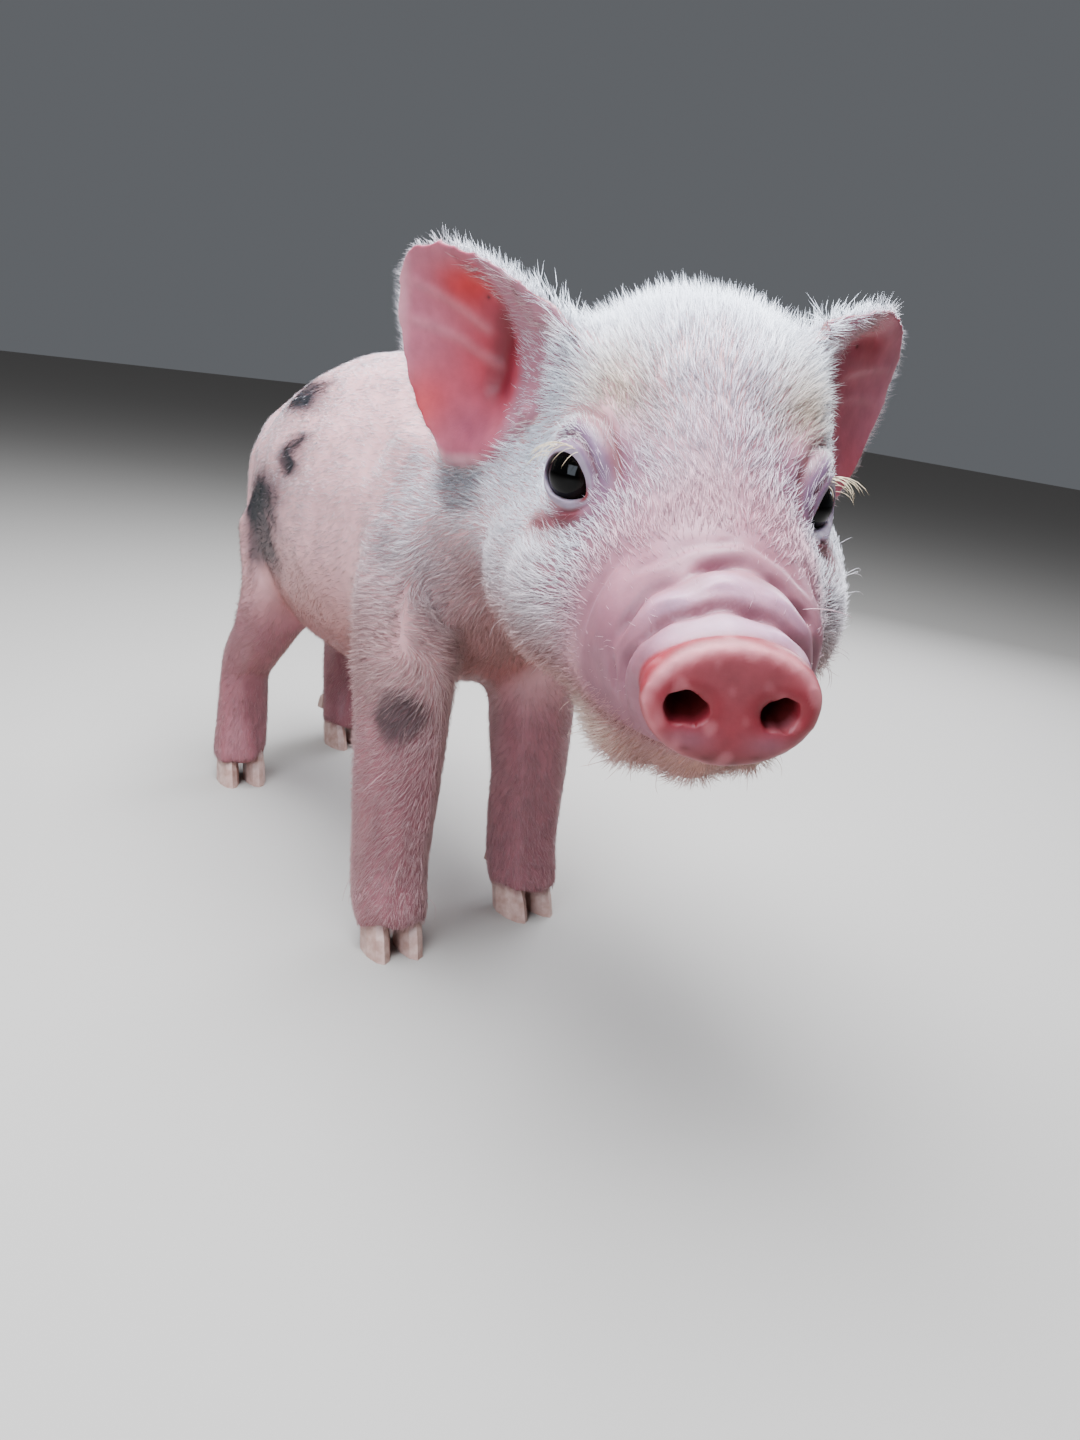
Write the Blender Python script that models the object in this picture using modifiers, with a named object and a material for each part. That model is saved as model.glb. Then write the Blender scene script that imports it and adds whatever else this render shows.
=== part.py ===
"""A young piglet, standing with its head turned to the right, life size.

Metres, +Z up, +X along the body towards the head, +Y to the animal's left. The soft
body is built up like clay from lofts, tapered tubes and blobs, fused by a voxel remesh,
smoothed, and parted with thin cuts into the pieces that a person would name. Ears, eyes
and hooves are modelled apart and fitted into the flesh.
"""

import math

import bmesh
import bpy
from mathutils import Matrix, Vector

MM = 0.001
GAP = 0.3 * MM  # clearance between two neighbouring pieces

# The clay of the body
CLAY_VOXEL = 1.6 * MM
BLOCK = 400  # side of a block that cuts right across the animal
CLAY_SMOOTHING = 8
FLESH_TRIANGLES = 3380
PLAIN_BEHIND = 75 * MM  # the flesh has larger facets behind here
HEAD_PLAINNESS = 0.88
SLIVER = 0.03 * MM

# Head: its frame has its origin midway between the eyes and +X along the muzzle
HEAD_AT = Vector((126.5, 4.4, 121.8)) * MM
HEAD_TURN = math.radians(-28.6)  # to the right
HEAD_NOD = math.radians(12.3)  # nose down
HEAD_TILT = math.radians(1.7)  # left side up
EYE_RADIUS = 6.5
EYE_AT = (-0.8, 22.7, 8.0)  # forward, out and up in the head's frame
DISC_MIDDLE = -7.4  # height in the head's frame
DISC_HALF = (15, 12)  # half its width and half its height
NOSTRIL_AT = (57, 7.6, -8)
NOSTRIL_HALF = (7, 3.5, 2.6)
DISC_AROUND = 24
DISC_PROFILE = (
    # forward in the head's frame, size as a share of the full disc
    (46.3, 0.92), (50, 0.95), (53.5, 1.0), (55.6, 0.97), (56.8, 0.82))
DISC_LEAN = -1.5  # how far its upper edge stands back

# Ears: a blade that runs back and out from its root on the head
EAR_ROOT = {"right": (-17, 31), "left": (-17, 24.5)}  # forward and out
EAR_SWING = {"right": 45, "left": 37}  # degrees out from straight back
EAR_DROOP = {"right": 0, "left": 17}  # degrees that the blade is let down
EAR_RISE = {"right": 0, "left": 4}  # millimetres that the whole blade stands higher
EAR_HINGE = 18  # height that it is let down about
EAR_AROUND = 14
EAR_STATIONS = (
    # along the blade, middle, half height, cup, thickness
    (-8, 29, 7, 5, 4.0),
    (0, 28, 10.5, 8, 3.6),
    (6, 25.5, 15.5, 9.5, 3.4),
    (12, 23.5, 19.5, 9, 3.2),
    (25, 22.5, 22.3, 7, 3.0),
    (34, 25, 19.5, 5, 2.8),
    (40, 27.5, 15, 3.5, 2.6),
    (44, 31, 8, 1.5, 2.2),
    (45.3, 32, 3.0, 0.5, 1.6),
)

# Feet: where each stands, and how far its toes turn to the left in degrees
FEET = {
    "foreleg_right": (69, -22.4, -6),
    "foreleg_left": (62, 22.5, 4),
    "hindleg_right": (-50, -24.9, -6),
    "hindleg_left": (-76, 24.9, 4),
}
CLAW_AROUND = 10
HOOF_HALF = (7.2, 4.3)
HOOF_HEIGHT = 11
HOOF_LEAN = 3.5
HOOF_OUT = 4.5
DEWCLAW_AT = (-11, 5.6, 12)
DEWCLAW_HALF = (2.6, 2.4)
DEWCLAW_HEIGHT = 5.5

# Where the flesh is cut: a point and a direction, or forward in the head's frame
NECK_CUT = ((74, 3, 115), (0.95, 0, 0.3))
NAPE_CUT = -36
SNOUT_CUT = 28
MOUTH_CUT = ((8, 0, -27), (0.1, 0, -1))

# Where the legs are cut off the trunk: from x, to x, height inside, height outside
LEG_CUT_INSIDE = 3
LEG_CUT_OUTSIDE = 60
LEG_CUT_LOWEST = -10
LEG_CUTS = {"foreleg": (40, 100, 60, 110), "hindleg": (-120, -26, 56, 120)}

# Colours and roughness by what a piece's name holds
LOOKS = (
    ("eye", ((0.01, 0.008, 0.008), 0.1)),
    ("hoof", ((0.55, 0.42, 0.36), 0.45)),
    ("dewclaw", ((0.50, 0.38, 0.33), 0.5)),
    ("disc", ((0.72, 0.30, 0.26), 0.45)),
    ("snout", ((0.72, 0.47, 0.45), 0.55)),
    ("jaw", ((0.72, 0.55, 0.50), 0.6)),
    ("ear", ((0.76, 0.42, 0.41), 0.6)),
    ("leg", ((0.70, 0.50, 0.50), 0.65)),
    ("", ((0.80, 0.70, 0.66), 0.7)),
)


def mm(*values):
    return Vector(values) * MM


def head_frame():
    turn = Matrix.Rotation(HEAD_TURN, 4, "Z")
    nod = Matrix.Rotation(HEAD_NOD, 4, "Y")
    tilt = Matrix.Rotation(HEAD_TILT, 4, "X")
    return Matrix.Translation(HEAD_AT) @ turn @ nod @ tilt


HEAD = head_frame()
BODY = Matrix.Identity(4)


# Tools -----------------------------------------------------------------------------------


def clear_scene():
    for obj in list(bpy.data.objects):
        bpy.data.objects.remove(obj)


def linked(name, mesh):
    obj = bpy.data.objects.new(name, mesh)
    bpy.context.scene.collection.objects.link(obj)
    return obj


def mesh_from(bm, name):
    bmesh.ops.recalc_face_normals(bm, faces=bm.faces)
    if bm.calc_volume(signed=True) < 0:
        bmesh.ops.reverse_faces(bm, faces=bm.faces)
    mesh = bpy.data.meshes.new(name)
    bm.to_mesh(mesh)
    bm.free()
    return mesh


def blob(at, radii, frame=BODY, turn=(0, 0, 0), segments=28):
    """An ellipsoid of clay. turn is in degrees about its own X, Y and Z."""
    turned = Matrix.Identity(4)
    for axis, degrees in zip("XYZ", turn):
        turned = Matrix.Rotation(math.radians(degrees), 4, axis) @ turned
    bm = bmesh.new()
    bmesh.ops.create_uvsphere(bm, u_segments=segments, v_segments=segments // 2, radius=1)
    place = frame @ Matrix.Translation(mm(*at)) @ turned @ Matrix.Diagonal((*mm(*radii), 1))
    bm.transform(place)
    return mesh_from(bm, "blob")


def pair(at, radii, frame=BODY, turn=(0, 0, 0)):
    """The same blob on the left and, mirrored, on the right."""
    x, y, z = at
    a, b, c = turn
    return [blob(at, radii, frame, turn), blob((x, -y, z), radii, frame, (-a, b, -c))]


def smooth_rows(rows, steps):
    """Catmull-Rom rows between the given ones, each row a tuple of numbers."""
    ends = [rows[0]] + list(rows) + [rows[-1]]
    made = []
    for i in range(1, len(ends) - 2):
        for k in range(steps):
            t = k / steps
            made.append(tuple(
                0.5 * (2 * b + (c - a) * t + (2 * a - 5 * b + 4 * c - d) * t * t
                       + (3 * b - a - 3 * c + d) * t**3)
                for a, b, c, d in zip(*ends[i - 1 : i + 3])
            ))
    made.append(tuple(rows[-1]))
    return made


def skinned(rings, name):
    """A closed solid over rings of points, capped at both ends."""
    bm = bmesh.new()
    loops = [[bm.verts.new(point) for point in ring] for ring in rings]
    count = len(loops[0])
    for a, b in zip(loops, loops[1:]):
        for k in range(count):
            bm.faces.new((a[k], a[(k + 1) % count], b[(k + 1) % count], b[k]))
    bm.faces.new(loops[0])
    bm.faces.new(loops[-1])
    return mesh_from(bm, name)


def loft(stations, frame=BODY, around=40, steps=4):
    """A solid through upright rings along X, in millimetres.

    A station is (x, middle y, top z, bottom z, height of the widest place, half width,
    top fullness, bottom fullness); a fullness of 1 is an ellipse, and more is narrower.
    """
    rings = []
    for x, y, top, bottom, wide, half, above, below in smooth_rows(stations, steps):
        ring = []
        for k in range(around):
            angle = 2 * math.pi * k / around
            c, s = math.cos(angle), math.sin(angle)
            across = half * math.copysign(abs(c) ** (above if s > 0 else below), c)
            up = wide + (top - wide if s > 0 else wide - bottom) * s
            ring.append(frame @ mm(x, y + across, up))
        rings.append(ring)
    return skinned(rings, "loft")


def limb(points, frame=BODY, sides=20, steps=5):
    """A tapered round tube through (x, y, z, radius) points in millimetres."""
    rows = smooth_rows(points, steps)
    places = [mm(*row[:3]) for row in rows]
    rings = []
    for i, row in enumerate(rows):
        ahead = places[min(i + 1, len(rows) - 1)] - places[max(i - 1, 0)]
        aim = ahead.to_track_quat("Z", "Y").to_matrix()
        ring = []
        for k in range(sides):
            angle = 2 * math.pi * k / sides
            out = aim @ (Vector((math.cos(angle), math.sin(angle), 0)) * row[3] * MM)
            ring.append(frame @ (places[i] + out))
        rings.append(ring)
    return skinned(rings, "limb")


def fused(name, meshes, voxel, smoothing):
    """One skin of clay over all these meshes."""
    bm = bmesh.new()
    for mesh in meshes:
        bm.from_mesh(mesh)
        bpy.data.meshes.remove(mesh)
    obj = linked(name, mesh_from(bm, name))
    remesh = obj.modifiers.new("clay", "REMESH")
    remesh.mode = "VOXEL"
    remesh.voxel_size = voxel
    smooth = obj.modifiers.new("thumb", "SMOOTH")
    smooth.factor = 0.5
    smooth.iterations = smoothing
    return applied(obj)


def applied(obj):
    """obj with its modifiers applied."""
    graph = bpy.context.evaluated_depsgraph_get()
    mesh = bpy.data.meshes.new_from_object(obj.evaluated_get(graph))
    obj.modifiers.clear()
    obj.data = mesh
    return obj


# Clay ------------------------------------------------------------------------------------


TRUNK = (
    # x, y, top, bottom, widest z, half width, top and bottom fullness
    (-88, 0, 110, 92, 102, 5, 1, 1),
    (-84, 0, 118, 82, 102, 13, 1, 1),
    (-73, 0, 127, 72, 101, 20.5, 1, 1),
    (-52, 0, 136, 64, 101, 26.5, 1, 1),
    (-30, 0, 144, 58, 100, 31.5, 1, 0.95),
    (-8, 1, 149, 55.5, 99, 35, 1, 0.95),
    (14, 1, 151, 57, 100, 36.5, 1, 0.95),
    (38, 2, 151, 62, 104, 34.5, 1, 0.95),
    (58, 4, 150, 70, 107, 31, 1.1, 1),
    (74, 6, 149, 82, 112, 25.5, 1.15, 1),
    (90, 8, 146, 96, 118, 18, 1.1, 1),
)
NECK = ((58, 3, 117, 30), (78, 6, 122, 28), (94, 10, 128, 27.5), (106, 12, 132, 28))
SKULL = (
    (-48, 0, 17, -17, 0, 18, 1, 1),
    (-43, 0, 30, -29, -2, 27, 1, 1),
    (-33, 0, 40, -37, -4, 33, 0.85, 1),
    (-19, 0, 42, -40, -9, 34, 0.85, 1),
    (-5, 0, 38, -41, -13, 31.5, 1.15, 0.95),
    (7, 0, 29, -40, -14, 29, 1.35, 0.9),
    (19, 0, 19.5, -37.5, -14, 25.5, 1.2, 0.95),
    (31, 0, 11.5, -34, -13, 20.5, 1, 1.1),
    (41, 0, 7, -28, -11, 17, 1, 1.25),
    (48, 0, 4.5, -21, -9, 15, 1, 1.1),
    (52, 0, 3.2, -18.5, -8, 14, 1, 1),
)
# Down the middle of each leg, from inside the body to the pastern: (x, y, z, radius)
LEGS = {
    "foreleg_right": (
        (52, -17, 95, 17), (57, -20.5, 72, 14), (60, -21, 54, 12.2), (61, -21.5, 38, 11.2),
        (62, -22, 22, 10.6), (65, -22.3, 11, 10.6), (67, -22.4, 5, 9)),
    "foreleg_left": (
        (50, 19, 95, 17), (52, 21, 72, 14.5), (54, 22, 54, 12.8), (55, 22.5, 38, 11.6),
        (56, 22.5, 22, 11), (58.5, 22.5, 11, 10.6), (60.5, 22.5, 5, 9)),
    "hindleg_right": (
        (-48, -13, 92, 19), (-42, -17, 72, 15), (-45, -21, 56, 11.5), (-56, -22.5, 42, 9.6),
        (-57, -23.5, 28, 9.2), (-55, -24.3, 18, 9.2), (-53, -24.8, 10, 9.8), (-51.5, -24.9, 5, 8.6)),
    "hindleg_left": (
        (-56, 15, 92, 19), (-58, 19, 72, 15), (-66, 22, 56, 11.5), (-81, 24, 42, 9.6),
        (-82, 25, 28, 9.2), (-81, 25, 18, 9.2), (-79, 25, 10, 9.8), (-77.5, 25, 5, 8.6)),
}
TAIL = (
    (-78, 0, 115, 4.6), (-87, 0, 113, 4.0), (-93, 1, 105, 3.3), (-95.5, 3.5, 95, 2.8),
    (-93, 5, 87, 2.4), (-89.5, 2.5, 82, 1.8),
)


def head_clay():
    made = [loft(SKULL, HEAD)]
    made += pair((-7, 20.5, -15), (25, 16.2, 20), HEAD)  # cheeks
    made += pair((-20, 22, -16), (26, 18.5, 20.5), HEAD)  # jowls
    made += pair((17, 11, -29.5), (20, 9.5, 9), HEAD)  # sides of the jaw
    made += pair((-3, 15, 15), (14, 11, 9), HEAD)  # brows
    made.append(blob((-19, -25, 25.5), (9, 7.5, 11), HEAD))  # root of the right ear
    made.append(blob((-20, 20, 27), (9, 7.5, 11), HEAD))  # root of the left ear
    made.append(blob((-16, 0, 19), (24, 29, 23), HEAD))  # forehead
    made.append(blob((31, 0, -27), (12, 9, 9), HEAD))  # chin
    return made


def trunk_clay():
    made = [loft(TRUNK), limb(NECK)]
    made += pair((50, 15, 106), (22, 17, 34), turn=(0, 12, 0))  # shoulders
    made += pair((-50, 11, 98), (26, 16, 32), turn=(0, -12, 0))  # hams
    return made


def flesh():
    meshes = head_clay() + trunk_clay() + [limb(points) for points in LEGS.values()]
    body = fused("flesh", meshes, CLAY_VOXEL, CLAY_SMOOTHING)
    plain = body.vertex_groups.new(name="plainness")
    for vert in body.data.vertices:
        plain.add([vert.index], 1 if vert.co.x < PLAIN_BEHIND else HEAD_PLAINNESS, "REPLACE")
    thin = body.modifiers.new("fewer facets", "DECIMATE")
    thin.vertex_group = plain.name
    thin.ratio = FLESH_TRIANGLES / sum(len(face.vertices) - 2 for face in body.data.polygons)
    return applied(body)


# Pieces fitted into the flesh ------------------------------------------------------------


def ear(side):
    """A thin cupped leaf, as crescents one after another along the blade."""
    sign = 1 if side == "left" else -1
    swing = math.radians(EAR_SWING[side])
    face = Vector((math.sin(swing), sign * math.cos(swing), 0))
    droop = Matrix.Rotation(-sign * math.radians(EAR_DROOP[side]), 3, face)
    along = droop @ Vector((-math.cos(swing), sign * math.sin(swing), 0))
    up = droop @ Vector((0, 0, 1))
    ahead, out = EAR_ROOT[side]
    root = Vector((ahead, sign * out, EAR_HINGE + EAR_RISE[side]))
    rings = []
    for reach, middle, half, cup, thick in smooth_rows(EAR_STATIONS, 2):
        ring = []
        for k in range(EAR_AROUND):
            angle = 2 * math.pi * k / EAR_AROUND
            across = math.cos(angle)
            depth = cup * (across * across - 0.6) + thick / 2 * math.sin(angle)
            height = middle - EAR_HINGE + half * across
            point = root + along * reach + up * height + face * depth
            ring.append(HEAD @ (point * MM))
        rings.append(ring)
    return linked("ear_" + side, skinned(rings, "ear"))


def eye(side):
    sign = 1 if side == "left" else -1
    x, y, z = EYE_AT
    return linked("eye_" + side, blob((x, sign * y, z), (EYE_RADIUS,) * 3, HEAD, segments=14))


def disc():
    """The flat pad at the end of the snout, with the two nostrils."""
    wide, high = DISC_HALF
    rings = []
    back = DISC_PROFILE[0][0]
    for x, size in DISC_PROFILE:
        lean = DISC_LEAN * (x - back) / 10
        ring = []
        for k in range(DISC_AROUND):
            angle = 2 * math.pi * k / DISC_AROUND
            c, s = math.cos(angle), math.sin(angle)
            ring.append(HEAD @ mm(x + lean * s, wide * size * c, DISC_MIDDLE + high * size * s))
        rings.append(ring)
    made = linked("snout_disc", skinned(rings, "disc"))
    x, y, z = NOSTRIL_AT
    for sign in (1, -1):
        boolean(made, blob((x, sign * y, z), NOSTRIL_HALF, HEAD, segments=12), "DIFFERENCE")
    return made


def claw(foot, at, half, height, lean, around=CLAW_AROUND):
    """A hoof or dewclaw: egg-shaped rings, one above another, over a flat sole."""
    x, y, turn = FEET[foot]
    frame = Matrix.Translation(mm(x, y, 0)) @ Matrix.Rotation(math.radians(turn), 4, "Z")
    rings = []
    for rise, size in ((0, 1), (0.5, 0.97), (0.87, 0.82), (1, 0.5)):
        ring = []
        for k in range(around):
            angle = 2 * math.pi * k / around
            c, s = math.cos(angle), math.sin(angle)
            narrow = 1 - 0.16 * (c + 1)  # towards the toe
            ring.append(frame @ mm(at[0] + half[0] * size * c - lean * rise,
                                   at[1] + half[1] * size * s * narrow, at[2] + height * rise))
        rings.append(ring)
    return skinned(rings, "claw")


def claws():
    """Two hooves and, higher up behind them, two dewclaws on each foot."""
    made = []
    for foot in FEET:
        for side, sign in (("left", 1), ("right", -1)):
            hoof = claw(foot, (0, sign * HOOF_OUT, 0), HOOF_HALF, HOOF_HEIGHT, HOOF_LEAN)
            made.append(linked(f"hoof_{foot}_{side}", hoof))
            x, y, z = DEWCLAW_AT
            spur = claw(foot, (x, sign * y, z), DEWCLAW_HALF, DEWCLAW_HEIGHT, -1, around=6)
            made.append(linked(f"dewclaw_{foot}_{side}", spur))
    return made


# Parting ---------------------------------------------------------------------------------


def grown(mesh, by=GAP):
    """The mesh with every face moved out by this much."""
    bm = bmesh.new()
    bm.from_mesh(mesh)
    bm.normal_update()
    moves = [vert.normal * (by * min(vert.calc_shell_factor(), 1.8)) for vert in bm.verts]
    for vert, move in zip(bm.verts, moves):
        vert.co += move
    bigger = bpy.data.meshes.new("grown")
    bm.to_mesh(bigger)
    bm.free()
    return bigger


def boolean(obj, mesh, operation):
    """obj cut by a mesh, or kept inside it."""
    cutter = linked("cutter", mesh)
    cutter.hide_render = True
    cutter.display_type = "WIRE"
    step = obj.modifiers.new(operation.lower(), "BOOLEAN")
    step.operation = operation
    step.solver = "EXACT"
    step.object = cutter
    applied(obj)
    bpy.data.objects.remove(cutter)
    return obj


def split(body, name, cutter):
    """The part of body inside the cutter, as a piece of its own, a gap away from the rest."""
    piece = boolean(linked(name, body.data.copy()), cutter, "INTERSECT")
    boolean(body, grown(cutter), "DIFFERENCE")
    return piece


def ahead_of(at, aim, frame=BODY):
    """A block that fills everything beyond a plane through at, on the side that aim shows."""
    bm = bmesh.new()
    bmesh.ops.create_cube(bm, size=BLOCK * MM)
    turn = Vector(aim).to_track_quat("X", "Z").to_matrix().to_4x4()
    ahead = Matrix.Translation(mm(BLOCK / 2, 0, 0))
    bm.transform(frame @ Matrix.Translation(mm(*at)) @ turn @ ahead)
    return mesh_from(bm, "block")


def leg_block(name):
    """Everything below a slope that rises outwards over one leg."""
    side = 1 if name.endswith("left") else -1
    start, end, low, high = LEG_CUTS[name.split("_")[0]]
    inside, outside, bottom = LEG_CUT_INSIDE, LEG_CUT_OUTSIDE, LEG_CUT_LOWEST
    outline = ((inside, bottom), (outside, bottom), (outside, high), (inside, low))
    return skinned([[mm(x, side * y, z) for y, z in outline] for x in (start, end)], "block")


def tidied(obj):
    """The largest island of the piece, without slivers."""
    bm = bmesh.new()
    bm.from_mesh(obj.data)
    bmesh.ops.remove_doubles(bm, verts=bm.verts, dist=SLIVER)
    bmesh.ops.dissolve_degenerate(bm, edges=bm.edges, dist=SLIVER)
    islands = []
    seen = set()
    for start in bm.verts:
        if start in seen:
            continue
        island = {start}
        front = [start]
        while front:
            vert = front.pop()
            for edge in vert.link_edges:
                other = edge.other_vert(vert)
                if other not in island:
                    island.add(other)
                    front.append(other)
        seen |= island
        islands.append(island)
    islands.sort(key=len)
    for island in islands[:-1]:
        bmesh.ops.delete(bm, geom=list(island), context="VERTS")
    bmesh.ops.triangulate(bm, faces=[face for face in bm.faces if len(face.verts) > 4])
    bm.to_mesh(obj.data)
    bm.free()
    obj.data.name = obj.name
    return obj


def parted(body):
    """The flesh as named pieces, cut off it from the neck forwards and then leg by leg."""
    head = split(body, "head", ahead_of(NECK_CUT[0], NECK_CUT[1]))
    neck = split(head, "neck", ahead_of((NAPE_CUT, 0, 0), (-1, 0, 0), HEAD))
    jaw = split(head, "lower_jaw", ahead_of(MOUTH_CUT[0], MOUTH_CUT[1], HEAD))
    snout = split(head, "snout", ahead_of((SNOUT_CUT, 0, 0), (1, 0, 0), HEAD))
    legs = [split(body, name, leg_block(name)) for name in LEGS]
    body.name = "trunk"
    return [head, neck, jaw, snout, body] + legs


# Finish ----------------------------------------------------------------------------------


def painted(obj):
    colour, roughness = next(look for key, look in LOOKS if key in obj.name)
    material = bpy.data.materials.new(obj.name)
    material.use_nodes = True
    shader = material.node_tree.nodes["Principled BSDF"]
    shader.inputs["Base Color"].default_value = (*colour, 1)
    shader.inputs["Roughness"].default_value = roughness
    shader.inputs["Metallic"].default_value = 0
    obj.data.materials.clear()
    obj.data.materials.append(material)


def collected(pieces):
    """Every piece in the piglet's own collection, with the box's bottom middle at the origin."""
    home = bpy.data.collections.new("piglet")
    bpy.context.scene.collection.children.link(home)
    corners = [vert.co for obj in pieces for vert in obj.data.vertices]
    low = Vector([min(corner[axis] for corner in corners) for axis in range(3)])
    high = Vector([max(corner[axis] for corner in corners) for axis in range(3)])
    shift = -Vector(((low.x + high.x) / 2, (low.y + high.y) / 2, low.z))
    for obj in pieces:
        obj.data.transform(Matrix.Translation(shift))
        bpy.context.scene.collection.objects.unlink(obj)
        home.objects.link(obj)
        painted(obj)
    return shift


def build():
    clear_scene()
    body = flesh()
    boolean(body, ahead_of((DISC_PROFILE[0][0] - GAP / MM, 0, 0), (1, 0, 0), HEAD), "DIFFERENCE")
    fitted = [eye("left"), eye("right")] + claws()
    for obj in fitted:
        boolean(body, grown(obj.data), "DIFFERENCE")
    edges = [ear("left"), ear("right"), linked("tail", limb(TAIL, sides=10, steps=3))]
    for obj in edges:
        boolean(obj, grown(body.data), "DIFFERENCE")
    pieces = fitted + edges + [disc()] + parted(body)
    for obj in pieces:
        tidied(obj)
    return collected(pieces)


if __name__ == "__main__":
    SHIFT_DONE = build()
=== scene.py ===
import math

import bpy
import numpy as np
from mathutils import Matrix, Vector, kdtree


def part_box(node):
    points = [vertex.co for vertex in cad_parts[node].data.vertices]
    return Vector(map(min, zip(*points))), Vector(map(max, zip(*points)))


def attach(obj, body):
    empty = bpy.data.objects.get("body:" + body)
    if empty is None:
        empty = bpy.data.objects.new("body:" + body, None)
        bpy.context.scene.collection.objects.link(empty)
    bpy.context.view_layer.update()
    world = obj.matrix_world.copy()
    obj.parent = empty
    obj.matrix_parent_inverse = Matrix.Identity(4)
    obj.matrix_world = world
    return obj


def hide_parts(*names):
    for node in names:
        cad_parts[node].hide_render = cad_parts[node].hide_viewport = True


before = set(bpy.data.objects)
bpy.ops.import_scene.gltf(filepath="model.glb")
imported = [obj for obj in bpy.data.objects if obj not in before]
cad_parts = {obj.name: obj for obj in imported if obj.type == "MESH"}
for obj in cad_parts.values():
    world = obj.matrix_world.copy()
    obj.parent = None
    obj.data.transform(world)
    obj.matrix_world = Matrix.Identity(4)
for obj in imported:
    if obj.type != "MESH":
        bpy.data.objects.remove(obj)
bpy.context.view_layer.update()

# Where things are -----------------------------------------------------------------------
# A piglet stands side on with its head turned to the right. All its soft parts are placed
# from two frames in millimetres: one for the body, and one for the head, midway between
# the eyes, with X along the muzzle, Y to its left and Z to its crown.

MM = 0.001
HEAD_TURN = math.radians(-28.6)
HEAD_NOD = math.radians(12.3)
HEAD_TILT = math.radians(1.7)
EYE_AT = (-0.8, 22.7, 8.0)
HEAD_FROM_BODY = (126.5, 4.4, 121.8)


def middle(node):
    low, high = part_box(node)
    return (low + high) / 2


turned = (Matrix.Rotation(HEAD_TURN, 4, "Z") @ Matrix.Rotation(HEAD_NOD, 4, "Y")
          @ Matrix.Rotation(HEAD_TILT, 4, "X"))
between_eyes = (middle("eye_left") + middle("eye_right")) / 2
head_at = between_eyes - turned @ (Vector((EYE_AT[0], 0, EYE_AT[2])) * MM)
HEAD = Matrix.Translation(head_at) @ turned
BODY = Matrix.Translation(head_at - Vector(HEAD_FROM_BODY) * MM)


def place(frame_of, x, y, z):
    return frame_of @ (Vector((x, y, z)) * MM)


# Camera ---------------------------------------------------------------------------------
# A wide lens close to the head and a little above it, rolled a few degrees. The lens
# takes in all of the animal, with its rump small in the distance.

LENS = 27.05
CAMERA_AT = (292.2, -139.6, 150)
CAMERA_AIM = (-0.782412, 0.53975, -0.310647)
CAMERA_ROLL = math.radians(7.812)

bpy.ops.object.camera_add(location=place(BODY, *CAMERA_AT))
camera = bpy.context.object
camera.name = "camera"
camera.data.lens = LENS
camera.data.sensor_width = 36
camera.data.clip_start = 0.01
level = Vector(CAMERA_AIM).to_track_quat("-Z", "Y").to_matrix()
camera.rotation_euler = (level @ Matrix.Rotation(CAMERA_ROLL, 3, "Z")).to_euler()
bpy.context.scene.camera = camera

# Studio ---------------------------------------------------------------------------------
# A floor of plain pale paper, unglazed, so that it shows no shine, one broad soft box
# overhead as the main light, a weaker one at its right, one behind, and a dim pale sky.

FLOOR = "#a09a93"
FLOOR_SIZE = 6
SKY = "#cdd2da"
SKY_STRENGTH = 0.2
LIGHTS = (
    # at, aimed at, size, watts, colour
    ((40, -40, 560), (50, 0, 100), 480, 17.0, "#edf5ff"),
    ((300, -430, 280), (90, 0, 90), 300, 2.6, "#e2eeff"),
    ((-160, 420, 330), (80, 0, 110), 320, 4.0, "#eaf1ff"),
)


def linear(colour):
    """An sRGB hex colour as the linear RGBA that Blender works in."""
    made = []
    for i in (1, 3, 5):
        c = int(colour[i : i + 2], 16) / 255
        made.append(c / 12.92 if c <= 0.04045 else ((c + 0.055) / 1.055) ** 2.4)
    return (*made, 1.0)


def material(name, **constants):
    """A new material with its node tree and its Principled shader, set to constants."""
    made = bpy.data.materials.new(name)
    made.use_nodes = True
    shader = made.node_tree.nodes["Principled BSDF"]
    for key, value in constants.items():
        shader.inputs[key.replace("_", " ")].default_value = value
    return made, made.node_tree, shader


def add(tree, kind, settings=None, **links):
    """A new node with its settings. A link is a value, or another node's output."""
    node = tree.nodes.new(kind)
    for key, value in (settings or {}).items():
        setattr(node, key, value)
    for key, value in links.items():
        socket = node.inputs[int(key[1:]) if key[1:].isdigit() else key]
        if isinstance(value, bpy.types.NodeSocket):
            tree.links.new(value, socket)
        else:
            socket.default_value = value
    return node


bpy.ops.mesh.primitive_plane_add(size=FLOOR_SIZE, location=(0, 0, 0))
floor = bpy.context.object
floor.name = "floor"
paper = material("matt background paper", Base_Color=linear(FLOOR), Roughness=0.9)[0]
floor.data.materials.append(paper)

sky = bpy.data.worlds.new("pale sky")
bpy.context.scene.world = sky
sky.use_nodes = True
sky.node_tree.nodes["Background"].inputs["Color"].default_value = linear(SKY)
sky.node_tree.nodes["Background"].inputs["Strength"].default_value = SKY_STRENGTH

for number, (at, aim, size, watts, tone) in enumerate(LIGHTS):
    where = place(BODY, *at)
    bpy.ops.object.light_add(type="AREA", location=where)
    lamp = bpy.context.object
    lamp.name = f"soft_box_{number + 1}"
    lamp.data.size = size * MM
    lamp.data.energy = watts
    lamp.data.color = linear(tone)[:3]
    lamp.rotation_euler = (place(BODY, *aim) - where).to_track_quat("-Z", "Y").to_euler()

# Skin -----------------------------------------------------------------------------------
# Thin soft hide over firm young flesh, one piece from the snout's disc to the tail and the
# feet. It is drawn over the joined flesh, lies in from the outline by the coat's depth, and
# has the lids, the folds of the snout and the mouth pressed into it.

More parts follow.
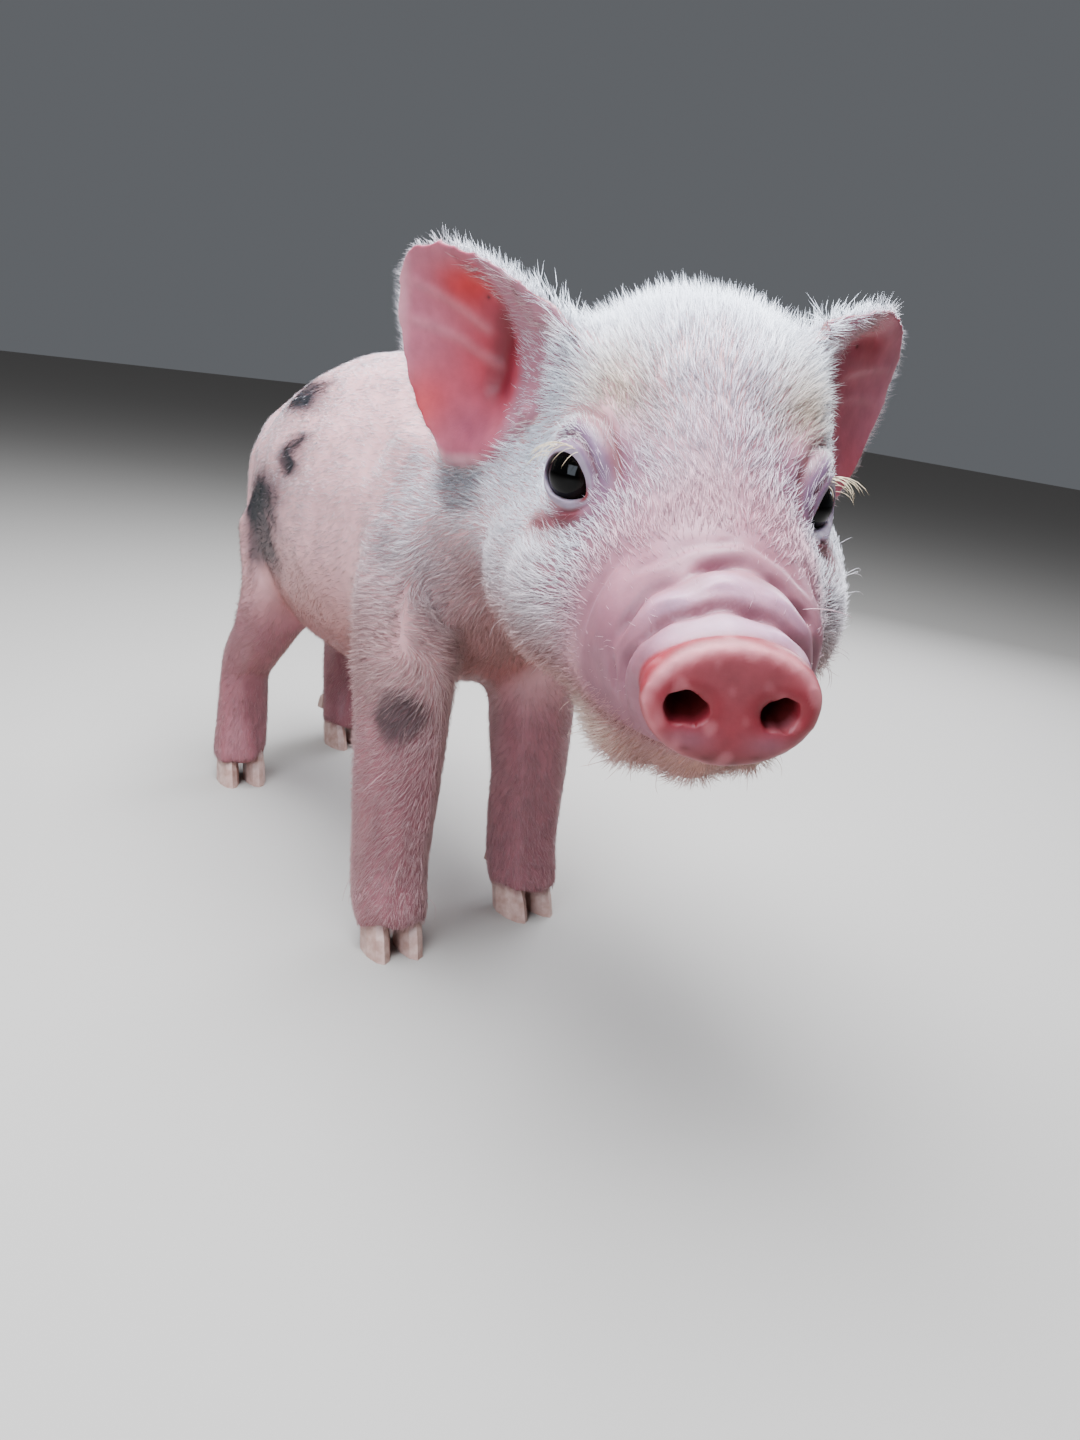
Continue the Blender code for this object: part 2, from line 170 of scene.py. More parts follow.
FLESH = [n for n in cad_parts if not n.startswith(("eye_", "hoof_", "dewclaw_"))]
SWELL = 0.9 * MM  # of thin blades before the remesh; a quarter of it closes the cuts
SKIN_GRID = 1.25 * MM
THIN = 1.5  # least thickness of an ear's blade
SPARE = 70000  # triangles that the plain trunk and legs can do without
LID_RADIUS = 7.35  # of the lids' bulge over an eyeball of radius 6.5
EAR_ROOT = {"right": (-17, 31), "left": (-17, 24.5)}  # forward and out from the head's middle
EAR_HINGE = 18  # up from there to where the blade turns
EAR_SWING = {"right": 45, "left": 37}  # degrees out from straight back
EAR_DROOP = {"right": 0, "left": 17}
EAR_RISE = {"right": 0, "left": 4}
EAR_BLADE = (
    # along the blade: the middle of its height, half its height, and its cup
    (-8, 29, 7, 5), (0, 28, 10.5, 8), (6, 25.5, 15.5, 9.5), (12, 23.5, 19.5, 9),
    (25, 22.5, 22.3, 7), (34, 25, 19.5, 5), (40, 27.5, 15, 3.5), (44, 31, 8, 1.5),
    (46, 32, 4, 0.5),
)
EYE_TURN = 46  # degrees that an opening faces away from straight ahead
EYE_LIFT = 6
EYE_SHIFT = {"right": (0, 0.2, 1.5), "left": (0, -2.0, 0.2)}  # one sits a little lower


def only(*objects):
    """Selects these objects and nothing else."""
    bpy.ops.object.select_all(action="DESELECT")
    for obj in objects:
        obj.select_set(True)
    bpy.context.view_layer.objects.active = objects[0]


def modify(obj, kind, **settings):
    """Adds a modifier and applies it."""
    only(obj)
    modifier = obj.modifiers.new(kind.lower(), kind)
    for key, value in settings.items():
        setattr(modifier, key, value)
    bpy.ops.object.modifier_apply(modifier=modifier.name)


def modify_by(weights, obj, kind, **settings):
    """Applies a modifier whose hold on each vertex goes by its weight."""
    group = obj.vertex_groups.new(name="share")
    for index, weight in enumerate(weights):
        group.add([index], float(weight), "REPLACE")
    modify(obj, kind, vertex_group="share", **settings)
    obj.vertex_groups.clear()


def edit(obj, operator, **settings):
    """Runs one edit-mode operator on all of an object."""
    only(obj)
    bpy.ops.object.mode_set(mode="EDIT")
    bpy.ops.mesh.select_all(action="SELECT")
    operator(**settings)
    bpy.ops.object.mode_set(mode="OBJECT")


def read(mesh, what="co"):
    """Every vertex's place, or its normal, as rows of three."""
    source = mesh.vertices if what == "co" else mesh.vertex_normals
    rows = np.empty(len(mesh.vertices) * 3)
    source.foreach_get("co" if what == "co" else "vector", rows)
    return rows.reshape(-1, 3)


def write(mesh, rows):
    mesh.vertices.foreach_set("co", rows.ravel())
    mesh.update()


def within(rows, frame_of):
    """Rows of places in a frame's own millimetres."""
    back = np.array(frame_of.inverted())
    return (rows @ back[:3, :3].T + back[:3, 3]) / MM


def unit(rows):
    """Each row as a direction of length one."""
    return rows / (np.linalg.norm(rows, axis=1)[:, None] + 1e-9)


def ramp(value, start, end):
    """0 before start, 1 after end, and smooth between them."""
    t = np.clip((value - start) / (end - start), 0, 1)
    return t * t * (3 - 2 * t)


def bump_at(rows, at, reach):
    """1 at a place and 0 beyond about two reaches from it; reach is one or three sizes."""
    return np.exp(-(((rows - at) / reach) ** 2).sum(1))


def wander(rows, size, seed=0):
    """Slow waves from -1 to 1 about size millimetres long, the same on every run."""
    chance = np.random.default_rng(seed)
    total = np.zeros(len(rows))
    for _ in range(8):
        aim = chance.normal(size=3)
        aim *= 2 * math.pi / (size * np.linalg.norm(aim) * chance.uniform(0.7, 1.5))
        total += np.sin(rows @ aim + chance.uniform(0, 6.28))
    return total / 4


def ear_frame(side):
    """Along the blade, up, and out of its hollow face, from the foot of its root."""
    sign = 1 if side == "left" else -1
    swing = math.radians(EAR_SWING[side])
    face = Vector((math.sin(swing), sign * math.cos(swing), 0))
    droop = Matrix.Rotation(-sign * math.radians(EAR_DROOP[side]), 3, face)
    along = droop @ Vector((-math.cos(swing), sign * math.sin(swing), 0))
    up = droop @ Vector((0, 0, 1))
    ahead, out = EAR_ROOT[side]
    hinge = Vector((ahead, sign * out, EAR_HINGE + EAR_RISE[side]))
    rows = Matrix((along, up, face)).transposed().to_4x4()
    return HEAD @ Matrix.Translation((hinge - up * EAR_HINGE) * MM) @ rows


def eye_frame(side):
    """Forward, up, and out of the middle of an eye's opening, from the eyeball's middle."""
    sign = 1 if side == "left" else -1
    turn, lift = math.radians(EYE_TURN), math.radians(EYE_LIFT)
    out = Vector((math.cos(turn) * math.cos(lift), sign * math.sin(turn) * math.cos(lift),
                  math.sin(lift)))
    up = (Vector((0, 0, 1)) - out * out.z).normalized()
    ahead = (Vector((1, 0, 0)) - out * out.x - up * up.x).normalized()
    rows = Matrix((ahead, up, out)).transposed().to_4x4()
    ahead_by, out_by, up_by = EYE_SHIFT[side]
    at = Matrix.Translation(Vector((EYE_AT[0] + ahead_by, sign * (EYE_AT[1] + out_by),
                                    EYE_AT[2] + up_by)) * MM)
    return HEAD @ at @ rows


EARS = {side: ear_frame(side) for side in EAR_SWING}
EYES = {side: eye_frame(side) for side in EAR_SWING}


def on_blade(a, start=2):
    """How far rows in an ear's frame lie on its blade, and where across it, -1 to 1."""
    along, middle, half, cup = np.array(EAR_BLADE).T
    half = np.interp(a[:, 0], along, half)
    across = (a[:, 1] - np.interp(a[:, 0], along, middle)) / half
    bowl = np.interp(a[:, 0], along, cup) * (np.clip(across, -1.15, 1.15) ** 2 - 0.6)
    share = ramp(a[:, 0], start, start + 5) * (1 - ramp(a[:, 0], 49, 51))
    share *= 1 - ramp(np.abs(a[:, 2] - bowl), 4.0, 6.0)
    return share * (1 - ramp((np.abs(across) - 1) * half, 1, 2.6)), across


def ear_share(p, start=2):
    """How far each place belongs to the blade of an ear, from 0 to 1."""
    return np.maximum(*(on_blade(within(p, frame_of), start)[0]
                        for frame_of in EARS.values()))


def ear_root_share(p):
    """The soft ground between an ear's blade and the head."""
    share = np.zeros(len(p))
    for frame_of in EARS.values():
        a = within(p, frame_of)
        share = np.maximum(share, bump_at(a, (-5, 24, 0), (7, 17, 12))
                           * (1 - 0.85 * ramp(a[:, 1], 30, 36) * ramp(a[:, 0], -6, 0)))
        share = np.maximum(share, bump_at(a, (3, 9, 1), (6, 7, 8)))
    return np.clip(share * 1.6, 0, 1)


def gathered_flesh():
    """A joined copy of the nodes of flesh, with a bulge over each eye for its lids."""
    copies = []
    for name in FLESH:
        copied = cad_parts[name].copy()
        copied.data = copied.data.copy()
        copied.parent = None
        bpy.context.scene.collection.objects.link(copied)
        copies.append(copied)
    for frame_of in EYES.values():
        bpy.ops.mesh.primitive_uv_sphere_add(
            segments=40, ring_count=20, radius=LID_RADIUS * MM, location=frame_of.translation)
        copies.append(bpy.context.object)
    only(*copies)
    bpy.ops.object.transform_apply()
    bpy.ops.object.join()
    body = bpy.context.object
    body.name = "skin"
    body.data.name = "skin"
    body.data.materials.clear()
    for layer in list(body.data.uv_layers):
        body.data.uv_layers.remove(layer)
    edit(body, bpy.ops.mesh.remove_doubles, threshold=0.001 * MM)
    return body


def largest_part(obj):
    """Drops the small bubbles that the remesh leaves inside."""
    edit(obj, bpy.ops.mesh.separate, type="LOOSE")
    parts = sorted(bpy.context.selected_objects, key=lambda o: len(o.data.vertices))
    for part in parts[:-1]:
        bpy.data.objects.remove(part)
    parts[-1].name = "skin"
    return parts[-1]


def refined(obj, chosen):
    """Divides the faces whose middles are chosen, once each way."""
    mesh = obj.data
    middles = np.empty(len(mesh.polygons) * 3)
    mesh.polygons.foreach_get("center", middles)
    only(obj)
    bpy.ops.object.mode_set(mode="EDIT")
    bpy.ops.mesh.select_mode(type="FACE")
    bpy.ops.mesh.select_all(action="DESELECT")
    bpy.ops.object.mode_set(mode="OBJECT")
    mesh.polygons.foreach_set("select", chosen(middles.reshape(-1, 3)))
    bpy.ops.object.mode_set(mode="EDIT")
    bpy.ops.mesh.subdivide(number_cuts=1, smoothness=0.6)
    bpy.ops.object.mode_set(mode="OBJECT")


def eye_reach(p):
    """Millimetres from each place to the middle of the nearer eyeball."""
    return np.min([np.linalg.norm(within(p, f), axis=1) for f in EYES.values()], axis=0)


def plumped(p, n):
    """Parts the two faces of each ear's blade where thinning has brought them too close."""
    moved = p.copy()
    for frame_of in EARS.values():
        a = within(p, frame_of)
        face = np.array(frame_of)[:3, 2]
        share, across = on_blade(a, -6)
        least = THIN * (1 - 0.45 * ramp(np.abs(across), 0.75, 1.0))
        sides = [np.flatnonzero((share > 0.3) & (sign * (n @ face) > 0.25))
                 for sign in (1, -1)]
        for own, other, sign in ((*sides, 1), (*sides[::-1], -1)):
            tree = kdtree.KDTree(len(other))
            for row, index in enumerate(other):
                tree.insert((a[index, 0], a[index, 1], 0), row)
            tree.balance()
            found = [tree.find((x, y, 0)) for x, y in a[own, :2]]
            away = np.array([row[2] for row in found])
            gap = sign * (a[own, 2] - a[other[[row[1] for row in found]], 2])
            short = np.clip(least[own] - gap, 0, 4) * (away < 1.6) / 2
            moved[own] += (sign * short * MM)[:, None] * face
    return moved


skin = gathered_flesh()
modify_by(0.28 + 0.72 * ear_share(read(skin.data)), skin, "DISPLACE", strength=SWELL,
          mid_level=0)
modify(skin, "REMESH", mode="VOXEL", voxel_size=SKIN_GRID)
skin = largest_part(skin)

p = read(skin.data)
q, b = within(p, HEAD), within(p, BODY)
on_leg = 1 - ramp(b[:, 2], 45, 75)
on_head = ramp(q[:, 0], -45, -25) * (1 - on_leg)
near_eye = 1 - ramp(eye_reach(p), 8.5, 13)
firm = 1 - 0.45 * on_leg - 0.45 * on_head
firm *= (1 - 0.65 * ear_share(p)) * (1 - 0.4 * ramp(q[:, 0], 20, 34)) * (1 - 0.85 * near_eye)
firm *= 1 - 0.4 * ramp(q[:, 0], 46, 48.5)
modify_by(firm, skin, "SMOOTH", factor=0.5, iterations=36)
modify_by(ear_root_share(read(skin.data)), skin, "SMOOTH", factor=0.5, iterations=70)


def hair_depth(p):
    """How deep the coat lies on the skin at each place, in millimetres."""
    q, b = within(p, HEAD), within(p, BODY)
    x, _, z = q.T
    crown = ramp(z, 14, 34) * ramp(x, -50, -30) * (1 - ramp(x, -5, 12))
    jaw = ramp(-z, 22, 34) * ramp(x, -20, 5) * (1 - ramp(x, 30, 45))
    leg = 1 - ramp(b[:, 2], 40, 75)
    foot = 1 - ramp(b[:, 2], 8, 20)
    depth = 1.3 + 1.5 * crown + 0.7 * jaw - 0.6 * leg - 0.5 * foot
    depth *= (1 - 0.75 * ramp(x, 14, 34)) * (1 - ramp(x, 42, 47))
    blade = ear_share(p)
    depth = depth * (1 - 0.7 * blade) * ramp(eye_reach(p), 8, 15) + 0.6 * blade
    return np.where(b[:, 0] < -82, 0.5, depth)


p = read(skin.data)
write(skin.data, p - read(skin.data, "normal") * hair_depth(p)[:, None] * MM)
modify(skin, "SMOOTH", factor=0.5, iterations=2)
write(skin.data, plumped(read(skin.data), read(skin.data, "normal")))
modify_by(ear_share(read(skin.data), -6), skin, "SMOOTH", factor=0.5, iterations=6)

# The trunk and the legs keep fewer faces than the head.
modify_by(1 - ramp(within(read(skin.data), HEAD)[:, 0], -60, -40), skin, "DECIMATE",
          ratio=1 - SPARE / (2 * len(skin.data.polygons)))

# The face is worked finer than the body, and the lids finest. The gap between the lids and
# the nostrils are cut right through the hide.
refined(skin, lambda m: (within(m, HEAD)[:, 0] > 16) | (eye_reach(m) < 16)
        | (ear_share(m) > 0.5))
refined(skin, lambda m: eye_reach(m) < 10.5)

OPENING = (
    # the outline of the gap between the lids: degrees from straight ahead, millimetres
    (0, 6.0), (30, 5.0), (60, 4.7), (90, 4.5), (120, 4.6), (150, 5.0), (180, 5.2),
    (205, 4.9), (235, 4.2), (270, 3.8), (300, 4.4), (325, 5.4), (347, 7.0), (360, 6.0),
)
GAP_STATIONS = ((2.5, 0.9), (5.0, 1.0), (6.2, 1.06), (7.4, 1.25), (12, 1.9))
EYEBALL = 6.45
SOCKET = 6.6


def opening(angle):
    """How far the lids' edge is from the middle of the gap, at angles in degrees."""
    fine = np.linspace(0, 360, 145)
    rough = np.interp(fine, *zip(*OPENING))[:-1]
    for _ in range(6):
        rough = (np.roll(rough, 1) + 2 * rough + np.roll(rough, -1)) / 4
    return np.interp(np.mod(angle, 360), fine, np.append(rough, rough[0]))


def plug(name, rings, caps_first):
    """A closed solid through rings of as many points each."""
    count = len(rings[0])
    spots = [spot for ring in rings for spot in ring]
    sides = []
    for start in range(0, len(spots) - count, count):
        for k in range(count):
            a, c = start + k, start + (k + 1) % count
            sides.append((a, c, c + count, a + count))
    last = tuple(range(len(spots) - count, len(spots)))
    faces = [tuple(reversed(range(count))), last, *sides] if caps_first else [
        *sides, tuple(range(count)), last]
    mesh = bpy.data.meshes.new(name)
    mesh.from_pydata(spots, [], faces)
    made = bpy.data.objects.new(name, mesh)
    bpy.context.scene.collection.objects.link(made)
    edit(made, bpy.ops.mesh.normals_make_consistent, inside=False)
    return made


def lid_cutter(frame_of):
    """A flared plug with the outline of the gap between the lids."""
    around = np.arange(0, 360, 5)
    across, up = np.cos(np.radians(around)), np.sin(np.radians(around))
    return plug("gap", [[place(frame_of, *row) for row in zip(
        opening(around) * size * across, opening(around) * size * up,
        np.full(len(around), out))] for out, size in GAP_STATIONS], True)


def cut(obj, cutter):
    modify(obj, "BOOLEAN", object=cutter, operation="DIFFERENCE", solver="EXACT")
    bpy.data.objects.remove(cutter)


NOSTRIL = (7.7, -8.0, 3.5)  # out, up, and half its height
NOSTRIL_HALF = {-1: 3.8, 1: 3.2}  # half its width, on the right and on the left
NOSTRIL_STATIONS = (
    # forward, size, and how far it turns in towards the middle
    (60, 1.14, 0), (57.4, 1.06, 0), (56.2, 0.98, 0.1), (54, 0.9, 0.4), (50.5, 0.7, 1.0),
    (48.3, 0.35, 1.4))


def nostril_cutter(sign):
    """A bent, tapering bore, rounder on its outer side and narrow towards the middle."""
    (out, up, tall), half = NOSTRIL, NOSTRIL_HALF[sign]
    rings = []
    for ahead, size, turn in NOSTRIL_STATIONS:
        rings.append([])
        for angle in np.radians(np.arange(0, 360, 10)):
            across, rise = -math.cos(angle), math.sin(angle)
            high = tall * size * rise * (0.93 + 0.16 * across + 0.08 * math.sin(5 * angle))
            rings[-1].append(place(HEAD, ahead, sign * (out - turn + half * size * across),
                                   up + high + 0.5 * across * size))
    return plug("bore", rings, False)


for sign in (-1, 1):
    cut(skin, nostril_cutter(sign))

for frame_of in EYES.values():
    bpy.ops.mesh.primitive_uv_sphere_add(
        segments=48, ring_count=24, radius=SOCKET * MM, location=frame_of.translation)
    socket = bpy.context.object
    only(socket)
    bpy.ops.object.transform_apply()
    gap = lid_cutter(frame_of)
    modify(gap, "BOOLEAN", object=socket, operation="UNION", solver="EXACT")
    bpy.data.objects.remove(socket)
    cut(skin, gap)


def beside_gap(p, frame_of):
    """Each place beside an eye: its angle, its distance outside the lids' edge, and height."""
    e = within(p, frame_of)
    angle = np.degrees(np.arctan2(e[:, 1], e[:, 0]))
    return angle, np.hypot(e[:, 0], e[:, 1]) - opening(angle), e[:, 2]


def crease(distance, width):
    return np.exp(-((distance / width) ** 2))


DISC_MIDDLE = -7.4  # its height in the head's frame
MOUTH = ((8, -27), 0.1)  # forward and up, and its rise per millimetre forward


def snout_angle(q):
    """Degrees round the snout: 90 on top, 0 at its side, -90 below."""
    return np.degrees(np.arctan2(q[:, 2] - DISC_MIDDLE, np.abs(q[:, 1]) * 0.8))


SNOUT_CREASES = (
    # forward on top, depth, width, how far it runs down the side in degrees, and how far
    # back it has swept by then; a swelling has a depth below nought
    (50.6, 0.5, 0.55, 10, 0.5), (48.2, -0.8, 1.5, -5, 1.2), (45.2, 1.9, 0.8, -50, 2.0),
    (41.4, -1.0, 2.0, 5, 1.0), (41.0, 0.35, 0.5, 30, 1.2), (36.8, 1.6, 0.9, -40, -1.6),
    (34.0, -0.5, 1.4, 25, 0.8), (31.8, 0.5, 1.0, 30, 1.0), (28.5, -0.3, 1.6, 40, 1.0))


def snout_folds(q):
    """Depth in millimetres of the folds that ring the snout behind its disc."""
    angle = snout_angle(q)
    swept = (1 - np.sin(np.radians(np.clip(angle, -20, 90)))) ** 1.4
    total = np.zeros(len(q))
    uneven = 1.2 * wander(q * (0.25, 1, 1), 12, seed=2) * (1 - ramp(q[:, 0], 44, 51))
    for k, (ahead, depth, width, low, back) in enumerate(SNOUT_CREASES):
        vary = 0.75 + 0.6 * wander(q, 8, seed=20 + k)
        total += depth * vary * crease(q[:, 0] - (ahead - back * swept + uneven), width) * (
            ramp(angle, low, low + 35))
    return total


def mouth_line(q):
    """Height of each place above the line of the closed lips."""
    (ahead, up), rise = MOUTH
    return q[:, 2] - (up + rise * (q[:, 0] - ahead)) - 2.0 * (1 - ramp(q[:, 0], 9, 20))


def eye_folds(p):
    """Swelling in millimetres of the lids, and the creases round them."""
    total = np.zeros(len(p))
    for frame_of in EYES.values():
        angle, out, height = beside_gap(p, frame_of)
        above = np.clip(np.sin(np.radians(angle)), 0, 1) ** 0.6
        below = np.clip(-np.sin(np.radians(angle)), 0, 1) ** 0.6
        front = ramp(height, -4, 0)
        upper = (0.5 * crease(out - 1.3, 0.9) - 0.8 * crease(out - 3.0, 0.5)
                 + 0.8 * crease(out - 5.0, 1.5) - 0.9 * crease(out - 7.2, 0.7)
                 + 0.5 * crease(out - 9.7, 1.6))
        lower = (0.25 * crease(out - 0.7, 0.6) - 0.5 * crease(out - 2.2, 0.45)
                 - 0.35 * crease(out - 5.0, 0.7))
        nose_side = np.clip(np.cos(np.radians(angle - 25)), 0, 1)
        upper = upper + 0.9 * nose_side * crease(out - 3.6, 1.6)
        total += front * ramp(out, -0.2, 0.3) * (above * upper + below * lower)
    return total


EAR_VALLEY = ((27, 38.5), (20, 37), (16.5, 33), (15.5, 27), (15.5, 17))
EAR_VEINS = (
    ((17, 21.5), (21, 23), (27, 25), (34, 26), (40, 26)),
    ((20, 28.5), (26, 31), (33, 33), (40, 34)),
)


def line_reach(rows, line):
    """Distance of each row to a chain of points in the same plane."""
    best = np.full(len(rows), 1e9)
    for start, end in zip(line, line[1:]):
        start, step = np.array(start), np.array(end) - np.array(start)
        t = np.clip(((rows - start) @ step) / (step @ step), 0, 1)
        best = np.minimum(best, np.linalg.norm(rows - start - t[:, None] * step, axis=1))
    return best


def ear_folds(p):
    """How each place in an ear moves out of its hollow face, in metres."""
    move = np.zeros_like(p)
    for frame_of in EARS.values():
        a = within(p, frame_of)
        mine = ear_share(p, -8) * ramp(a[:, 0], -8, -2)
        out = -1.6 * crease(line_reach(a[:, :2], EAR_VALLEY), 3.0)
        out += 1.3 * bump_at(a[:, :2], (4.5, 29), (4.5, 11))
        for line in EAR_VEINS:
            out += 0.25 * crease(line_reach(a[:, :2], line), 1.2)
        out += 0.35 * wander(a * (1, 1, 0), 24, seed=8) * ramp(a[:, 0], 8, 20)
        face = np.array(frame_of)[:3, 2]
        move += (mine * out)[:, None] * face * MM
    return move


def shaped(skin):
    """Presses the folds into the skin, along its own normals."""
    p, n = read(skin.data), read(skin.data, "normal")
    q = within(p, HEAD)
    x, y, z = q.T
    push = eye_folds(p) - snout_folds(q) * ramp(x, 20, 27) * (
        1 - ramp(x, 51.5, 53))
    pad = np.stack((x, np.abs(y), z), 1)
    push += 1.5 * bump_at(pad, (32.5, 18, -5), (5.5, 5, 9))
    push -= 0.7 * crease(x - 26, 1.1) * bump_at(pad[:, 1:], (19, -4), (7, 9))
    push -= 0.5 * crease(mouth_line(q), 0.5) * ramp(x, 12, 20) * (
        1 - ramp(x, 46, 47.5))
    left = within(p, EYES["left"])
    push -= 1.3 * bump_at(left, (0, 0, 4), (11, 11, 8)) * ramp(
        np.hypot(left[:, 0], left[:, 1]), 6.5, 9.5)
    rise = z + 8
    low = -rise * ramp(x, 43, 48.5) * np.where(rise > 0, 0.13, 0.06)
    write(skin.data, p + n * push[:, None] * MM + ear_folds(p)
          + low[:, None] * np.array(HEAD)[:3, 2] * MM)


shaped(skin)

HIDE = {  # sRGB
    "body": "#cf9d9d", "leg": "#8a545a", "belly": "#985a54", "bridge": "#8e626b",
    "snout": "#9a6570", "side": "#875560", "ridge": "#bb8ca4", "disc": "#862730",
    "disc rim": "#cd7e84", "disc deep": "#70222a", "disc shade below": "#582324",
    "nostril": "#4a0d0d", "ear": "#a0323e", "ear fold shade": "#5e0d18", "ear pale": "#a45c6b",
    "ear edge": "#d39aa2", "lobe": "#87404f", "flap": "#9a6470", "ear glow": "#b8322e",
    "speck": "#3d0e10", "lid": "#745970", "lid edge": "#8d7d8c", "corner": "#5e2224",
    "brow": "#7c4848", "under": "#65282f", "beside": "#7b4d60", "chin": "#a87769",
    "mouth": "#7a4c48", "spot": "#212226",
}
SPOTS = (
    # middle, half sizes, and how dark it is, in the body's frame
    ((-20, -24, 133), (21, 10, 8), 1.0), ((-5, -31, 117), (13, 7, 8), 1.0),
    ((-30, -30, 99), (29, 10, 11), 1.0), ((-28, -31, 87), (22, 10, 10.5), 0.85),
    ((77, -22, 122), (8, 8, 7), 0.5), ((59, -30, 105), (4, 6, 7), 0.2),
    ((70, -27, 65), (8.5, 9, 7), 0.6), ((-40, 22, 128), (15, 10, 9), 1.0),
    ((-62, 20, 108), (12, 10, 14), 1.0), ((18, 33, 118), (12, 8, 8), 0.9),
    ((-80, 4, 108), (7, 7, 8), 0.5),
)

EYE_PATCH = ((-6.8, -11.6), (-1.5, -9.8), (3, -7.2), (5.5, -5.4))  # below the lower lid

EAR_SPECKS = ((20, 34.7), (10, 38), (9.3, 37.4), (41, 12), (38, 7))
DISC_SPECKS = ((-3.5, -16.2), (5, -15.5), (-7, -14.8), (1.5, -17))


def tinted(colour, palette, layers):
    """Mixes each row of colour with named colours of a palette in turn, by their shares."""
    for name, share in layers:
        share = np.clip(share, 0, 1)[:, None]
        colour = colour * (1 - share) + np.array(linear(palette[name])[:3]) * share
    return colour


def spot_share(b):
    """How dark the grey spots of the hide are at each place in the body's frame."""
    share = np.zeros(len(b))
    edge = 1 + 0.22 * wander(b, 9, seed=5)
    for at, reach, depth in SPOTS:
        inside = np.sqrt((((b - at) / reach) ** 2).sum(1)) * edge
        share = np.maximum(share, depth * (1 - ramp(inside, 0.55, 1.15)))
    return share


def snout_layers(q, n):
    """Bridge, muzzle with its folds, chin, lips, and the wet disc with its nostrils."""
    facing = n @ np.array(HEAD)[:3, 0]
    ahead, up = q[:, 0], q[:, 2]
    bare = ramp(ahead, 20, 30)
    angle, folds = snout_angle(q), snout_folds(q)
    behind = 50.6 * ramp(angle, 0, 50) + 47.4 * (1 - ramp(angle, 0, 50))
    disc = ramp(ahead - behind, -0.5, 0.9)
    face = disc * ramp(facing, 0.3, 0.8)
    holes = np.maximum(*(bump_at(q[:, 1:], (sign * 7.6, -8), (5.2, 4.2))
                         for sign in (-1, 1)))
    layers = [
        ("bridge", ramp(ahead, -4, 14) * ramp(up, -22, -8)),
        ("snout", bare),
        # side: the snout's mauve sides and underside, darker partly as painted shade, then
        # painted shade in the troughs of its folds
        ("side", ramp(ahead, 20, 32) * (1 - ramp(angle, 0, 45))),
        ("side", bare * np.clip(0.8 * folds, 0, 0.7)),
        # paler lilac on the swellings between the folds: partly their own colour, partly
        # painted highlight
        ("ridge", ramp(angle, 5, 60) * ramp(ahead, 41, 46) * np.clip(
            0.2 - 0.75 * folds, 0, 0.9)),
        ("ridge", ramp(angle, 15, 60) * ramp(ahead, 37, 39) * np.clip(-0.8 * folds, 0, 0.6)),
        ("chin", ramp(-up, 22, 28) * ramp(ahead, 8, 24)),
        # painted shade along the crease of the closed lips
        ("mouth", crease(mouth_line(q), 0.7) * ramp(ahead, 12, 18)
         * (1 - ramp(ahead, 46, 47)) * ramp(-up, 20, 22)),
        ("disc", disc),
        ("disc deep", face * bump_at(q[:, 1:], (0, -3), (7, 5)) * 0.8),
        # painted shade over the lower part of the disc
        ("disc shade below", face * ramp(-up, 11, 18) * 0.8),
        ("side", face * 0.6 * bump_at(np.abs(q[:, 1:]), (6.5, 13), (4, 2))),
        # the disc's paler rim, brighter on top as a painted highlight
        ("disc rim", disc * crease(facing - 0.6, 0.28)
         * (0.25 + 0.75 * ramp(up, -14, 2)) * (1 - ramp(holes, 0.15, 0.4))),
        ("disc rim", disc * 0.35 * ramp(wander(q, 5, seed=41), 0.2, 1)),
    ]
    bored = ramp(ahead, 46, 47) * ramp(-ahead, -55.9, -53.8)
    for sign in (-1, 1):
        hole = bump_at(q[:, 1:], (sign * 7.4, -8), (4.4, 3.2))
        # painted shade inside each bore and round its opening
        layers += [("nostril", bored * ramp(hole, 0.2, 0.4)),
                   ("nostril", 0.35 * ramp(ahead, 54, 55) * ramp(hole, 0.3, 0.8))]
    return layers + [("nostril", 0.5 * face * bump_at(q[:, 1:], speck, (0.9, 0.5)))
                     for speck in DISC_SPECKS]


